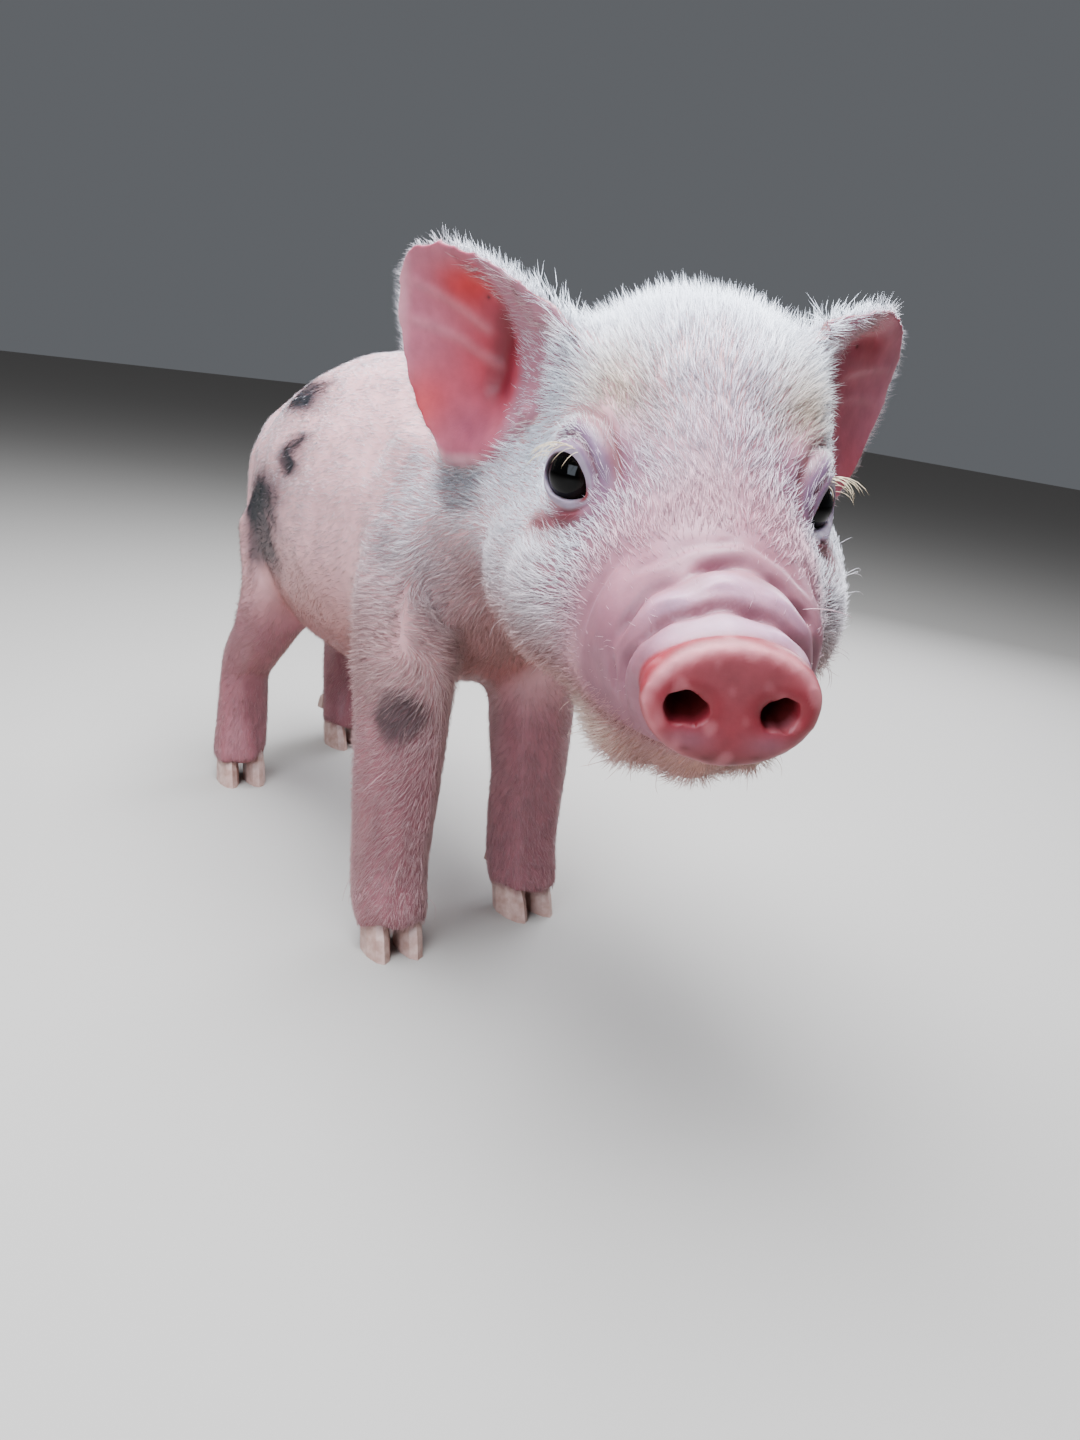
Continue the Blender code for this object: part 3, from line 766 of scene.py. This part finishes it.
def ear_layers(p, n, side):
    """White back, pink hollow with painted shade along its fold, pale veins and edge."""
    a = within(p, EARS[side])
    facing = n @ np.array(EARS[side])[:3, 2]
    mine, across = on_blade(a, -9)
    inner = mine * ramp(facing, -0.15, 0.35)
    flat, along = a[:, :2], a[:, 0]
    hollow = inner * ramp(along + 0.5 * (36 - a[:, 1]), 13, 19) * ramp(along, 8, 12)
    layers = [
        ("ear edge", on_blade(a)[0]), ("flap", inner), ("ear pale", hollow),
        ("ear", hollow * np.clip(
            bump_at(flat, (18, 23), (13, 15)) + 0.9 * bump_at(flat, (27, 36), (9, 4.5))
            + 0.6 * bump_at(flat, (34, 10), (8, 8)), 0, 1)),
        # painted light glowing through the thin ear
        ("ear glow", hollow * 0.75 * np.clip(
            bump_at(flat, (25, 36), (6, 3)) + 0.6 * bump_at(flat, (35, 9), (7, 6)), 0, 1)),
        ("lobe", hollow * bump_at(flat, (20, 7), (8, 6.5)) * 0.9),
        # painted shade along the fold of the hollow and deep in it near the root
        ("ear fold shade", inner * 0.75 * crease(line_reach(flat, EAR_VALLEY), 3.6)
         * ramp(-a[:, 1], -36.5, -31)),
        ("ear fold shade", hollow * 0.5 * bump_at(flat, (16, 23), (4, 8)))]
    layers += [("ear edge", hollow * 0.15 * crease(line_reach(flat, line), 1.3)
                * ramp(along, 12, 20)) for line in EAR_VEINS]
    layers += [
        ("ear edge", inner * 0.6 * ramp(np.abs(across), 0.92, 1.05) * ramp(along, 8, 20)),
        ("ear edge", inner * 0.6 * ramp(along, 40, 45)),
        # daylight shows through the left one
        ("ear pale", 0.5 * hollow * (side == "left"))]
    return layers + [("speck", inner * bump_at(flat, spot, (0.45, 0.45)))
                     for spot in EAR_SPECKS]


def eye_layers(p, frame_of):
    """Mauve lids, painted shade in their creases, a pale wet edge, and a red patch below."""
    at, out, height = beside_gap(p, frame_of)
    e = within(p, frame_of)
    front = ramp(height, -2, 2)
    above = ramp(np.sin(np.radians(at)), -0.2, 0.5)
    return [
        ("beside", 0.95 * bump_at(e, (10.5, 4.5, 3), (8, 10, 9))),
        ("lid", front * (1 - ramp(out, 5, 7.5)) * (0.3 + 0.7 * above)),
        # painted shade in the two creases above each eye
        ("brow", front * above * crease(out - 7.2, 1.1) * 0.9),
        ("brow", front * above * crease(out - 3.0, 0.6) * 0.6),
        ("under", 0.9 * front * crease(line_reach(e[:, :2], EYE_PATCH), 2.2)),
        ("under", front * 0.7 * bump_at(e[:, :2], (2.5, -6.6), (2.0, 1.0))),
        ("lid edge", front * (1 - ramp(out, 1.3, 2.0))),
        ("corner", front * (1 - ramp(out, 0.8, 1.6)) * crease(
            np.mod(at - 347 + 180, 360) - 180, 18))]


def hide_colour(p, n):
    """The hide's colour at each place, linear, with painted shade and highlights in it."""
    q, b = within(p, HEAD), within(p, BODY)
    # belly: the pinker underside, darkened as painted shade on the faces that turn down
    layers = [("belly", ramp(-n[:, 2], -0.3, 0.7) * ramp(-b[:, 2], -112, -66)),
              # leg: the legs' deeper pink, darker still as painted shade
              ("leg", 1 - ramp(b[:, 2], 55, 80)), *snout_layers(q, n)]
    for side in EARS:
        layers += ear_layers(p, n, side)
    for frame_of in EYES.values():
        layers += eye_layers(p, frame_of)
    colour = np.tile(linear(HIDE["body"])[:3], (len(p), 1))
    return tinted(colour, HIDE, [*layers, ("spot", spot_share(b))])


def paint(mesh, colour):
    """Keeps the colours of a mesh's vertices in an attribute of its own."""
    layer = mesh.color_attributes.new("tint", "FLOAT_COLOR", "POINT")
    rows = np.ones((len(mesh.vertices), 4))
    rows[:, :3] = colour
    layer.data.foreach_set("color", rows.ravel())


paint(skin.data, hide_colour(read(skin.data), read(skin.data, "normal")))
for face in skin.data.polygons:
    face.use_smooth = True

# Bare young hide: soft and a little moist, with light let in under its surface. Its pores
# are finer than this in life, and are drawn as coarse as they need to show.
MOTTLE = 3.846 * MM
PORES = 0.6667 * MM
hide, tree, shader = material(
    "young pig hide", Roughness=0.45, Specular_IOR_Level=0.35, Subsurface_Weight=0.15,
    Subsurface_Radius=(1.0, 0.35, 0.2), Subsurface_Scale=1.5 * MM)
tint = add(tree, "ShaderNodeVertexColor", {"layer_name": "tint"})
where = add(tree, "ShaderNodeTexCoord").outputs["Object"]
mottle = add(tree, "ShaderNodeTexNoise", Vector=where, Scale=1 / MOTTLE, Detail=4.0)
shade = add(tree, "ShaderNodeMapRange", Value=mottle.outputs["Fac"], i1=0.3, i2=0.7,
            i3=0.86, i4=1.1)
mixed = add(tree, "ShaderNodeVectorMath", {"operation": "SCALE"}, i0=tint.outputs["Color"],
            Scale=shade.outputs["Result"])
tree.links.new(mixed.outputs[0], shader.inputs["Base Color"])
pores = add(tree, "ShaderNodeTexNoise", Vector=where, Scale=1 / PORES, Detail=3.0)
relief = add(tree, "ShaderNodeBump", Strength=0.25, Distance=0.15 * MM,
             Height=pores.outputs["Fac"])
tree.links.new(relief.outputs[0], shader.inputs["Normal"])
skin.data.materials.append(hide)
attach(skin, "root")
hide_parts(*FLESH)

# Eyes -----------------------------------------------------------------------------------
# Two wet balls, nearly all black pupil and very dark brown iris, behind a clear cornea that
# bulges a little and gives one sharp highlight. Each is set in its own socket, facing out of
# it.

for side, frame_of in EYES.items():
    bpy.ops.mesh.primitive_uv_sphere_add(segments=64, ring_count=40, radius=EYEBALL * MM)
    ball = bpy.context.object
    ball.name = ball.data.name = f"eyeball_{side}"
    rows = read(ball.data)
    cornea = 1 - ramp(np.hypot(rows[:, 0], rows[:, 1]) / MM, 2.2, 5.2)
    rows *= 1 + 0.03 * (cornea * (rows[:, 2] > 0))[:, None]
    flat = rows / MM
    turn = np.array(frame_of)[:3, :3]
    write(ball.data, rows @ turn.T + np.array(frame_of.translation))
    layer = ball.data.uv_layers.new(name="iris")
    corners = np.empty(len(ball.data.loops), int)
    ball.data.loops.foreach_get("vertex_index", corners)
    reach = np.degrees(np.arccos(np.clip(flat[:, 2] / EYEBALL, -1, 1))) / 90
    aim = flat[:, :2] / np.maximum(np.hypot(flat[:, 0], flat[:, 1]), 1e-6)[:, None]
    layer.data.foreach_set("uv", (0.5 + 0.25 * aim * reach[:, None])[corners].ravel())
    only(ball)
    bpy.ops.object.shade_smooth()
    wet, tree, shader = material(f"wet eye {side}", Roughness=0.05, IOR=1.376,
                                 Specular_IOR_Level=0.22)
    own = add(tree, "ShaderNodeUVMap", {"uv_map": "iris"})
    centred = add(tree, "ShaderNodeVectorMath", {"operation": "SUBTRACT"},
                  i0=own.outputs["UV"], i1=(0.5, 0.5, 0))
    out = add(tree, "ShaderNodeVectorMath", {"operation": "LENGTH"}, i0=centred.outputs[0])
    rings = add(tree, "ShaderNodeValToRGB", Fac=out.outputs["Value"])
    marks = rings.color_ramp.elements
    marks[0].position, marks[0].color = 0.09, linear("#020202")
    marks[1].position, marks[1].color = 0.11, linear("#120a08")
    for at, colour in ((0.165, "#0e0807"), (0.19, "#060404"), (0.21, "#7d6a70")):
        mark = marks.new(at)
        mark.color = linear(colour)
    tree.links.new(rings.outputs["Color"], shader.inputs["Base Color"])
    ball.data.materials.append(wet)
    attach(ball, "root")
    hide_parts(f"eye_{side}")

# Hooves and dewclaws --------------------------------------------------------------------
# Soft young horn, four toes to a foot, grown over the bone. It is pale pink where the flesh
# shows through and clouded along its grain, with a dull polish from the ground.

HORN_CLOUDS = 2.381 * MM
horn, tree, shader = material("young hoof horn", Roughness=0.42)
where = add(tree, "ShaderNodeTexCoord").outputs["Object"]
rings = add(tree, "ShaderNodeTexNoise", Vector=where, Scale=1 / HORN_CLOUDS, Detail=3.0)
tone = add(tree, "ShaderNodeValToRGB", Fac=rings.outputs["Fac"])
tone.color_ramp.elements[0].position = 0.3
tone.color_ramp.elements[0].color = linear("#a07a6e")
tone.color_ramp.elements[1].position = 0.7
tone.color_ramp.elements[1].color = linear("#c2a196")
tree.links.new(tone.outputs["Color"], shader.inputs["Base Color"])
for name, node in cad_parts.items():
    if name.startswith(("hoof_", "dewclaw_")):
        node.data.materials.clear()
        node.data.materials.append(horn)
        only(node)
        bpy.ops.object.shade_smooth_by_angle(angle=math.radians(50))

# Coat -----------------------------------------------------------------------------------
# Fine soft white hair, denser on the head, that lies back along the body and down the
# legs, stands up on the crown and fringes the ears. Each hair tapers to its tip, and
# neighbours draw together into small locks.

COAT = {  # sRGB
    "white": "#f3f5fb", "cream": "#d9bd9a", "body": "#efe6ea", "leg": "#b8898c",
    "spot": "#1f2126", "chin": "#dcc3b2", "middle": "#cfb3bf", "muzzle": "#c9969f",
    "cheek": "#e3c5c0", "under": "#bd8a84", "lid": "#c9a9bb", "patch": "#84444a",
    "lash": "#e3cfae",
}
PATCH = 0.003  # of each hair on the coat's own unwrap
STRAIGHT_EACH = 48000  # hairs in one piece
BENT_EACH = 19500
SINK = 0.12  # how far a root is set into the skin, in millimetres
LOCK_SHARE = 0.22  # of the hairs, one leads a lock
LOCK_PULL = 0.4

skin.data.calc_loop_triangles()
corners = np.empty(len(skin.data.loop_triangles) * 3, int)
skin.data.loop_triangles.foreach_get("vertices", corners)
corners = corners.reshape(-1, 3)
skin_at, skin_out = read(skin.data), read(skin.data, "normal")


def coat_rules(p, n):
    """For places on the skin: hairs per square millimetre, length, width and lift."""
    q, b = within(p, HEAD), within(p, BODY)
    x, _, z = q.T
    head = ramp(x, -44, -30) * ramp(b[:, 2], 62, 80)
    leg = 1 - ramp(b[:, 2], 48, 72)
    foot = 1 - ramp(b[:, 2], 6, 22)
    belly = ramp(-n[:, 2], 0.3, 0.9) * (1 - leg) * (1 - head)
    crown = ramp(z, 16, 36) * ramp(x, -48, -34) * (1 - ramp(x, -8, 10))
    jaw = head * ramp(-z, 17, 24) * (1 - ramp(x, 40, 47))
    snout = ramp(x - 7.5 * ramp(snout_angle(q), 15, 65), 19, 28)
    bridge = ramp(x, 2, 16) * ramp(z, -16, -6)
    temple = head * bump_at(np.abs(q), (14, 28, 14), (9, 9, 10))
    cheek = head * bump_at(np.abs(q), (0, 26, 10), (26, 14, 16))
    dense = 3.5 + 0.3 * head - 1.4 * belly + 0.7 * cheek
    dense *= (1 - 0.96 * snout * (1 - 0.95 * jaw)) * (1 - 0.4 * bridge)
    length = 4.6 + 0.6 * head - 1.0 * leg - 1.0 * foot + 1.2 * crown + 1.6 * temple
    length *= 1 - 0.6 * snout * (1 - 0.85 * jaw)
    width = 0.12 - 0.015 * (1 - head) - 0.025 * leg - 0.045 * snout
    lift = 9 + 4 * head + 32 * crown + 16 * jaw + 4 * leg + 4 * belly
    for frame_of in EARS.values():
        a = within(p, frame_of)
        facing = n @ np.array(frame_of)[:3, 2]
        blade = on_blade(a)[0]
        inner = on_blade(a, -9)[0] * ramp(facing, 0.0, 0.4) * ramp(a[:, 0], -6, 2)
        deep = ramp(a[:, 0] + 0.5 * (36 - a[:, 1]), 12, 18) * ramp(a[:, 0], 7, 11)
        rim = blade * (1 - ramp(np.abs(facing), 0.45, 0.85))
        dense = dense * (1 - 0.7 * inner) * (1 - inner * deep * (1 - rim)) + 5.0 * rim
        length = length * (1 - 0.42 * np.maximum(blade, inner))
        width = width * (1 - 0.42 * np.maximum(blade, inner))
        lift = lift * (1 - 0.5 * inner) + 14 * rim
    near = np.full(len(p), 50.0)
    for frame_of in EYES.values():
        _, out, height = beside_gap(p, frame_of)
        near = np.minimum(near, np.where(height > -5, out, 50))
        e = within(p, frame_of)
        lidded = bump_at(e, (6, 8, 3), (7, 6, 8)) + 0.75 * bump_at(e, (12, 1, 2), (6, 9, 9))
        lidded += 1.2 * (height > -3) * crease(line_reach(e[:, :2] - (1.5, 0), EYE_PATCH), 2.6)
        lidded += 0.6 * (height > -3) * (e[:, 1] > 3) * crease(out - 7.4, 1.6)
        dense *= 1 - 0.85 * np.clip(lidded, 0, 1)
        width *= 1 - 0.3 * np.clip(lidded, 0, 1)
    dense *= ramp(near, 1.4, 3.0)
    length *= 0.5 + 0.5 * ramp(near, 1, 9)
    dense *= (eye_reach(p) > 6.9) * (1 - ramp(x, 43.5, 46))
    dense *= 1 - (b[:, 2] < 14) * ramp(-n[:, 2], 0.3, 0.6)
    return dense, length, width, lift


def lie(p, n):
    """Which way the hair lies at each place, as unit rows along the skin."""
    q, b = within(p, HEAD), within(p, BODY)
    x, y, z = q.T
    head_rows, body_rows = np.array(HEAD)[:3, :3], np.array(BODY)[:3, :3]
    side = np.clip(y / 25, -1, 1)
    on_head = np.stack((
        np.full(len(p), -1.0), 0.35 * side * ramp(z, -5, 20),
        0.25 * ramp(z, 10, 30) - 0.35 * ramp(-z, -5, 20)), 1) @ head_rows.T
    down = 0.25 + 0.35 * ramp(100 - b[:, 2], -20, 30)
    on_body = np.stack((np.full(len(p), -1.0), np.zeros(len(p)), -down), 1) @ body_rows.T
    low = 1 - ramp(b[:, 2], 14, 56)
    on_legs = np.stack((0.6 * low - 0.85, 0 * low, -0.6 - 0.4 * low), 1) @ body_rows.T
    head = (ramp(x, -50, -30) * ramp(b[:, 2], 66, 84))[:, None]
    leg = (1 - ramp(b[:, 2], 50, 86))[:, None]
    rump = ramp(-b[:, 0], 72, 84)[:, None] * (1 - head)
    chest = (ramp(n @ body_rows[:, 0], 0.1, 0.6) * ramp(b[:, 0], 20, 50))[:, None]
    apart = np.stack((0 * low, 0.6 * np.clip(b[:, 1] / 5, -1, 1), 0 * low - 0.5), 1)
    way = on_body * (1 - head) + on_head * head
    way = way * (1 - rump) + np.array((-0.3, 0.1, -1.0)) * rump
    way = way * (1 - leg) + on_legs * leg
    way = way + apart @ body_rows.T * chest * (1 - head)
    for frame_of in EARS.values():
        a = within(p, frame_of)
        mine = np.maximum(on_blade(a, -9)[0], bump_at(a, (-4, 22, 0), (9, 14, 9)))[:, None]
        spread = unit(np.stack((a[:, 0] + 24, 0.9 * (a[:, 1] - 24), 0 * low), 1))
        way = way * (1 - mine) + (spread @ np.array(frame_of)[:3, :3].T) * mine
    for frame_of in EYES.values():
        # it parts round the eye, as water does round a stone
        e = within(p, frame_of)
        turn = np.array(frame_of)[:3, :3]
        reach = np.hypot(e[:, 0], e[:, 1]) + 1e-6
        aim = np.stack((e[:, 0] / reach, e[:, 1] / reach, 0 * low), 1)
        flow = way @ turn
        parted = flow - 2 * (flow * aim).sum(1)[:, None] * aim * (
            np.minimum(6.2 / reach, 1) ** 2)[:, None]
        near = (np.exp(-((reach / 13) ** 4)) * (e[:, 2] > -5))[:, None]
        way = way * (1 - near) + (parted @ turn.T) * near
    way = way - n * (way * n).sum(1)[:, None]
    return unit(way)


def unwrapped(p, n):
    """Each place on an unwrap of the skin: sleeves for body, head, legs and tail, and
    the two faces of each ear."""
    q, b = within(p, HEAD), within(p, BODY)

    def sleeve(across, up, along, first, last, corner, size):
        round_it = np.arctan2(across, up) / (2 * math.pi) + 0.5
        length = np.clip((along - first) / (last - first), 0, 1)
        return np.stack((corner[0] + size[0] * round_it, corner[1] + size[1] * length), 1)

    uv = sleeve(b[:, 1] - 2, b[:, 2] - 103, b[:, 0], -95, 100, (0.51, 0.52), (0.47, 0.46))
    head = sleeve(q[:, 1], q[:, 2] + 5, q[:, 0], -48, 58, (0.01, 0.52), (0.47, 0.46))
    uv = np.where((q[:, 0] > -38)[:, None], head, uv)
    for k, (x, y, last) in enumerate(((61, -21, 90), (55, 22, 90), (-50, -21, 70),
                                      (-72, 22, 70))):
        mine = (np.abs(b[:, 0] - x) < 26) & (b[:, 1] * y > 0) & (b[:, 2] < 62)
        leg = sleeve(b[:, 1] - y, b[:, 0] - x, b[:, 2], 0, 64, (0.01 + 0.245 * k, 0.27),
                     (0.235, 0.22))
        uv = np.where(mine[:, None], leg, uv)
    tail = sleeve(b[:, 1] - 2, b[:, 0] + 92, b[:, 2], 78, 118, (0.83, 0.02), (0.15, 0.22))
    uv = np.where((b[:, 0] < -88)[:, None], tail, uv)
    ear = ear_share(p) > 0.4
    for k, frame_of in enumerate(EARS.values()):
        a = within(p, frame_of)
        facing = n @ np.array(frame_of)[:3, 2] > 0
        mine = ear & (on_blade(a)[0] > 0.4)
        flat = np.stack((0.01 + 0.4 * k + 0.2 * facing + 0.18 * (a[:, 0] + 5) / 65,
                         0.02 + 0.22 * np.clip(a[:, 1] / 50 + 0.1, 0, 1)), 1)
        uv = np.where(mine[:, None], flat, uv)
    return uv


def coat_colour(p, n, chance):
    """The hair's colour at each root, linear, with painted shade, a little different from hair
    to hair.
    """
    q, b = within(p, HEAD), within(p, BODY)
    ahead, up = q[:, 0], q[:, 2]
    layers = [
        # white: the head's hair, with a faint cool tint painted in for the daylight on it
        ("white", ramp(ahead, -45, -25)),
        # painted shade on the hair low on the body
        ("under", 0.85 * (1 - ramp(b[:, 2], 80, 122))),
        # the legs' pinker hair, darker still as painted shade
        ("leg", 1 - ramp(b[:, 2], 50, 80)),
        ("middle", 0.85 * bump_at(q, (12, 0, 20), (18, 12, 18)))]
    layers += [("cream", 0.8 * bump_at(q, (1, sign * 17, 23), (13, 7, 9)))
               for sign in (-1, 1)]
    for frame_of in EYES.values():
        e = within(p, frame_of)
        layers += [("lid", 0.9 * bump_at(e, (11, 4, 3), (9, 10, 9))),
                   ("patch", ramp(e[:, 2], -4, 0) * crease(
                       line_reach(e[:, :2] - (1.5, 0), EYE_PATCH), 2.4))]
    dark = spot_share(b - (1.6, 0, 0.8))  # where most of the hair lies, not its root
    layers += [
        # painted shade on the hair of the lower cheeks
        ("cheek", 0.3 * ramp(-up, -8, 12) * ramp(ahead, -40, -25)),
        ("muzzle", 0.9 * ramp(ahead, 12, 25)),
        ("chin", ramp(-up, 20, 28) * ramp(ahead, 8, 24)),
        # painted shade on the hair that faces down
        ("under", 0.8 * ramp(-n[:, 2], 0.0, 0.7)),
        ("spot", 1.2 * dark * (chance.uniform(size=len(p)) < 0.96))]
    colour = tinted(np.tile(linear(COAT["body"])[:3], (len(p), 1)), COAT, layers)
    return colour * chance.uniform(0.88, 1.05, len(p))[:, None]


def grown(p, n, seed):
    """Root, middle and tip of each hair, with its half width and its sideways axes."""
    chance = np.random.default_rng(seed)
    _, length, width, lift = coat_rules(p, n)
    way = lie(p, n)
    across = np.cross(n, way)
    swirl = np.radians(chance.normal(0, 12, len(p)) + 16 * wander(p / MM, 14, seed=3))
    way = way * np.cos(swirl)[:, None] + across * np.sin(swirl)[:, None]
    length = length * chance.uniform(0.65, 1.25, len(p)) * MM
    lift = np.radians(lift * chance.uniform(0.55, 1.5, len(p)))
    width = width * chance.uniform(0.75, 1.2, len(p)) * MM
    start = way * np.cos(lift)[:, None] + n * np.sin(lift)[:, None]
    later = np.radians(chance.uniform(6, 26, len(p)))
    end = way * np.cos(lift - later)[:, None] + n * np.sin(lift - later)[:, None]
    root = p - n * SINK * MM
    bend = root + start * (length / 2)[:, None]
    tip = bend + end * (length / 2)[:, None]
    leads = np.flatnonzero(chance.uniform(size=len(p)) < LOCK_SHARE)
    tree_of = kdtree.KDTree(len(leads))
    for row, lead in enumerate(leads):
        tree_of.insert(bend[lead], row)
    tree_of.balance()
    nearest = np.array([leads[tree_of.find(spot)[1]] for spot in bend])
    pull = (LOCK_PULL * chance.uniform(0.3, 1.4, len(p)) * (1 - 0.8 * ear_share(p)))
    pull *= 0.45 + 0.55 * ramp(within(p, HEAD)[:, 0], -60, -40)
    close = (np.linalg.norm(tip[nearest] - tip, axis=1) < 2.5 * MM)[:, None]
    tip = np.where(close, tip + (tip[nearest] - tip) * pull[:, None], tip)
    return root, bend, tip, width, n


def hair_mesh(name, line, width, out, colour, uv):
    """One mesh of closed three-sided spikes through the points of line, root to tip."""
    count, rings = len(line[0]), len(line) - 1
    spots = []
    for k in range(rings):
        way = line[k + 1] - line[max(k - 1, 0)]
        side = unit(np.cross(way, out))
        other = unit(np.cross(side, way))
        size = (width * (1 - 0.6 * (k / rings) ** 2) / math.sqrt(3))[:, None]
        for turn in (90, 210, 330):
            c, s = math.cos(math.radians(turn)), math.sin(math.radians(turn))
            spots.append(line[k] + (side * c + other * s) * size)
    spots.append(line[-1])
    each = len(spots)
    rows = np.stack(spots, 1).reshape(-1, 3)
    shape, patch = [(2, 1, 0)], []
    for k in range(rings):
        for j in range(3):
            a, c = 3 * k + j, 3 * k + (j + 1) % 3
            shape += [(a, c, c + 3), (a, c + 3, a + 3)] if k < rings - 1 else [
                (a, c, each - 1)]
        up = 0.9 * k / rings
        patch += [(0.5 * up, up), (1 - 0.5 * up, up), (0.5, up + 0.1)]
    patch.append((0.5, 1))
    faces = (np.array(shape)[None] + (np.arange(count) * each)[:, None, None]).reshape(-1)
    mesh = bpy.data.meshes.new(name)
    mesh.vertices.add(len(rows))
    mesh.vertices.foreach_set("co", rows.ravel())
    mesh.loops.add(len(faces))
    mesh.loops.foreach_set("vertex_index", faces)
    mesh.polygons.add(len(faces) // 3)
    mesh.polygons.foreach_set("loop_start", np.arange(0, len(faces), 3))
    mesh.polygons.foreach_set("use_smooth", np.ones(len(faces) // 3, bool))
    mesh.update(calc_edges=True)
    paint(mesh, np.repeat(colour, each, 0))
    spread = (uv[:, None] + np.array(patch)[None] * PATCH).reshape(-1, 2)
    mesh.uv_layers.new(name="OFBake").data.foreach_set("uv", spread[faces].ravel())
    mesh.materials.append(hair)
    piece = bpy.data.objects.new(name, mesh)
    bpy.context.scene.collection.objects.link(piece)
    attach(piece, "root")
    return piece


# Fine white hair: a soft sheen along each shaft, and each hair's colour with its painted
# shade.
hair, tree, shader = material("fine white hair", Roughness=0.5, Specular_IOR_Level=0.22)
tint = add(tree, "ShaderNodeVertexColor", {"layer_name": "tint"})
tree.links.new(tint.outputs["Color"], shader.inputs["Base Color"])

chance = np.random.default_rng(11)
ends = skin_at[corners]
area = np.linalg.norm(np.cross(ends[:, 1] - ends[:, 0], ends[:, 2] - ends[:, 0]), axis=1)
area /= 2 * MM * MM
wanted = coat_rules(ends.mean(1), unit(skin_out[corners].mean(1)))[0] * area
chosen = np.repeat(np.arange(len(area)), chance.poisson(np.maximum(wanted, 0)))
share = chance.dirichlet((1, 1, 1), len(chosen))
roots = (ends[chosen] * share[:, :, None]).sum(1)
outs = unit((skin_out[corners[chosen]] * share[:, :, None]).sum(1))

in_head = within(roots, HEAD)
bent_here = (in_head[:, 0] > -44) & (chance.uniform(size=len(roots)) < 0.8)
for kind, mask, limit in (("head", bent_here, BENT_EACH),
                          ("body", ~bent_here, STRAIGHT_EACH)):
    members = np.flatnonzero(mask)
    members = members[np.argsort(within(roots[members], BODY)[:, 0])]
    parts = max(1, math.ceil(len(members) / limit))
    root, bend, tip, width, out = grown(roots[members], outs[members], seed=17)
    line = (root, bend, tip) if kind == "head" else (root, tip)
    colour = coat_colour(roots[members], outs[members], np.random.default_rng(23))
    uv = unwrapped(roots[members], outs[members])
    for part, pick in enumerate(np.array_split(np.arange(len(members)), parts)):
        hair_mesh(f"coat_{kind}_{part + 1}", [row[pick] for row in line], width[pick],
                  out[pick], colour[pick], uv[pick])

# Lashes and whiskers --------------------------------------------------------------------
# Coarser cream hairs: a fan of lashes that droops from each upper lid, and a few long
# curved whiskers on the cheeks, the chin and the throat.

LASHES = (
    # degrees round the opening, length, and how far it stands out before it droops
    (62, 7.0, 0.9), (70, 8.0, 0.8), (77, 9.5, 0.9), (83, 8.0, 0.7), (90, 10.5, 0.85),
    (97, 8.5, 0.75), (104, 9.0, 0.85), (112, 8.0, 0.7), (122, 8.0, 0.8), (134, 7.0, 0.7),
    (146, 6.5, 0.8), (74, 10.5, 1.0), (93, 11.0, 1.0), (158, 6.5, 0.8),
)
WHISKERS = 110
STEPS = 6


def drooped(start, aim, length, fall):
    """Points along a hair that leaves start along aim and bends over towards fall."""
    line = [start]
    for k in range(STEPS):
        way = unit(aim * (1 - k / STEPS) + fall * (k / STEPS))
        line.append(line[-1] + way * (length / STEPS)[:, None])
    return line


chance = np.random.default_rng(31)
for side, frame_of in EYES.items():
    turn = np.array(frame_of)[:3, :3]
    at, long, stand = np.array(LASHES).T
    at = at + chance.normal(0, 2.5, len(at))
    reach = opening(at) + 0.9
    level = np.sqrt(np.maximum(7.1 ** 2 - reach ** 2, 4))
    around = np.stack((np.cos(np.radians(at)), np.sin(np.radians(at)), np.zeros(len(at))), 1)
    start = around * reach[:, None] + (0, 0, 1) * level[:, None] - (0, 0, 0.4)
    start = start @ (turn.T * MM) + np.array(frame_of.translation)
    aim = (0.25 * around + np.array((-0.1, 0.15, 1)) * stand[:, None]) @ turn.T
    fall = (np.array((-0.25, -1.0, 0.25)) + chance.normal(0, 0.2, (len(at), 3))) @ turn.T
    colour = np.tile(linear(COAT["lash"])[:3], (len(at), 1))
    hair_mesh(f"lashes_{side}", drooped(start, aim, long * MM, fall),
              np.full(len(at), 0.15 * MM), aim, colour,
              np.array([(0.9, 0.3 + 0.1 * (side == "left"))]) + np.stack(
                  (np.arange(len(at)) * 0.004, np.zeros(len(at))), 1))

likely = 0.2 + bump_at(np.abs(in_head), (10, 26, 20), (18, 12, 8))
likely += 2 * bump_at(in_head, (25, 0, -32), (14, 16, 6))
likely *= (in_head[:, 0] > -20) * (in_head[:, 0] < 40) * (in_head[:, 2] < 8)
picked = chance.choice(len(roots), WHISKERS, replace=False, p=likely / likely.sum())
start, out = roots[picked], outs[picked]
aim = out * 0.8 + lie(start, out) * 0.9 + chance.normal(0, 0.2, (WHISKERS, 3))
fall = lie(start, out) * 0.7 + np.array((0, 0, -0.9)) + chance.normal(0, 0.35, (WHISKERS, 3))
hair_mesh("whiskers", drooped(start, aim, chance.uniform(6, 10.5, WHISKERS) * MM, fall),
          np.full(WHISKERS, 0.11 * MM), out, coat_colour(start, out, chance),
          unwrapped(start, out))
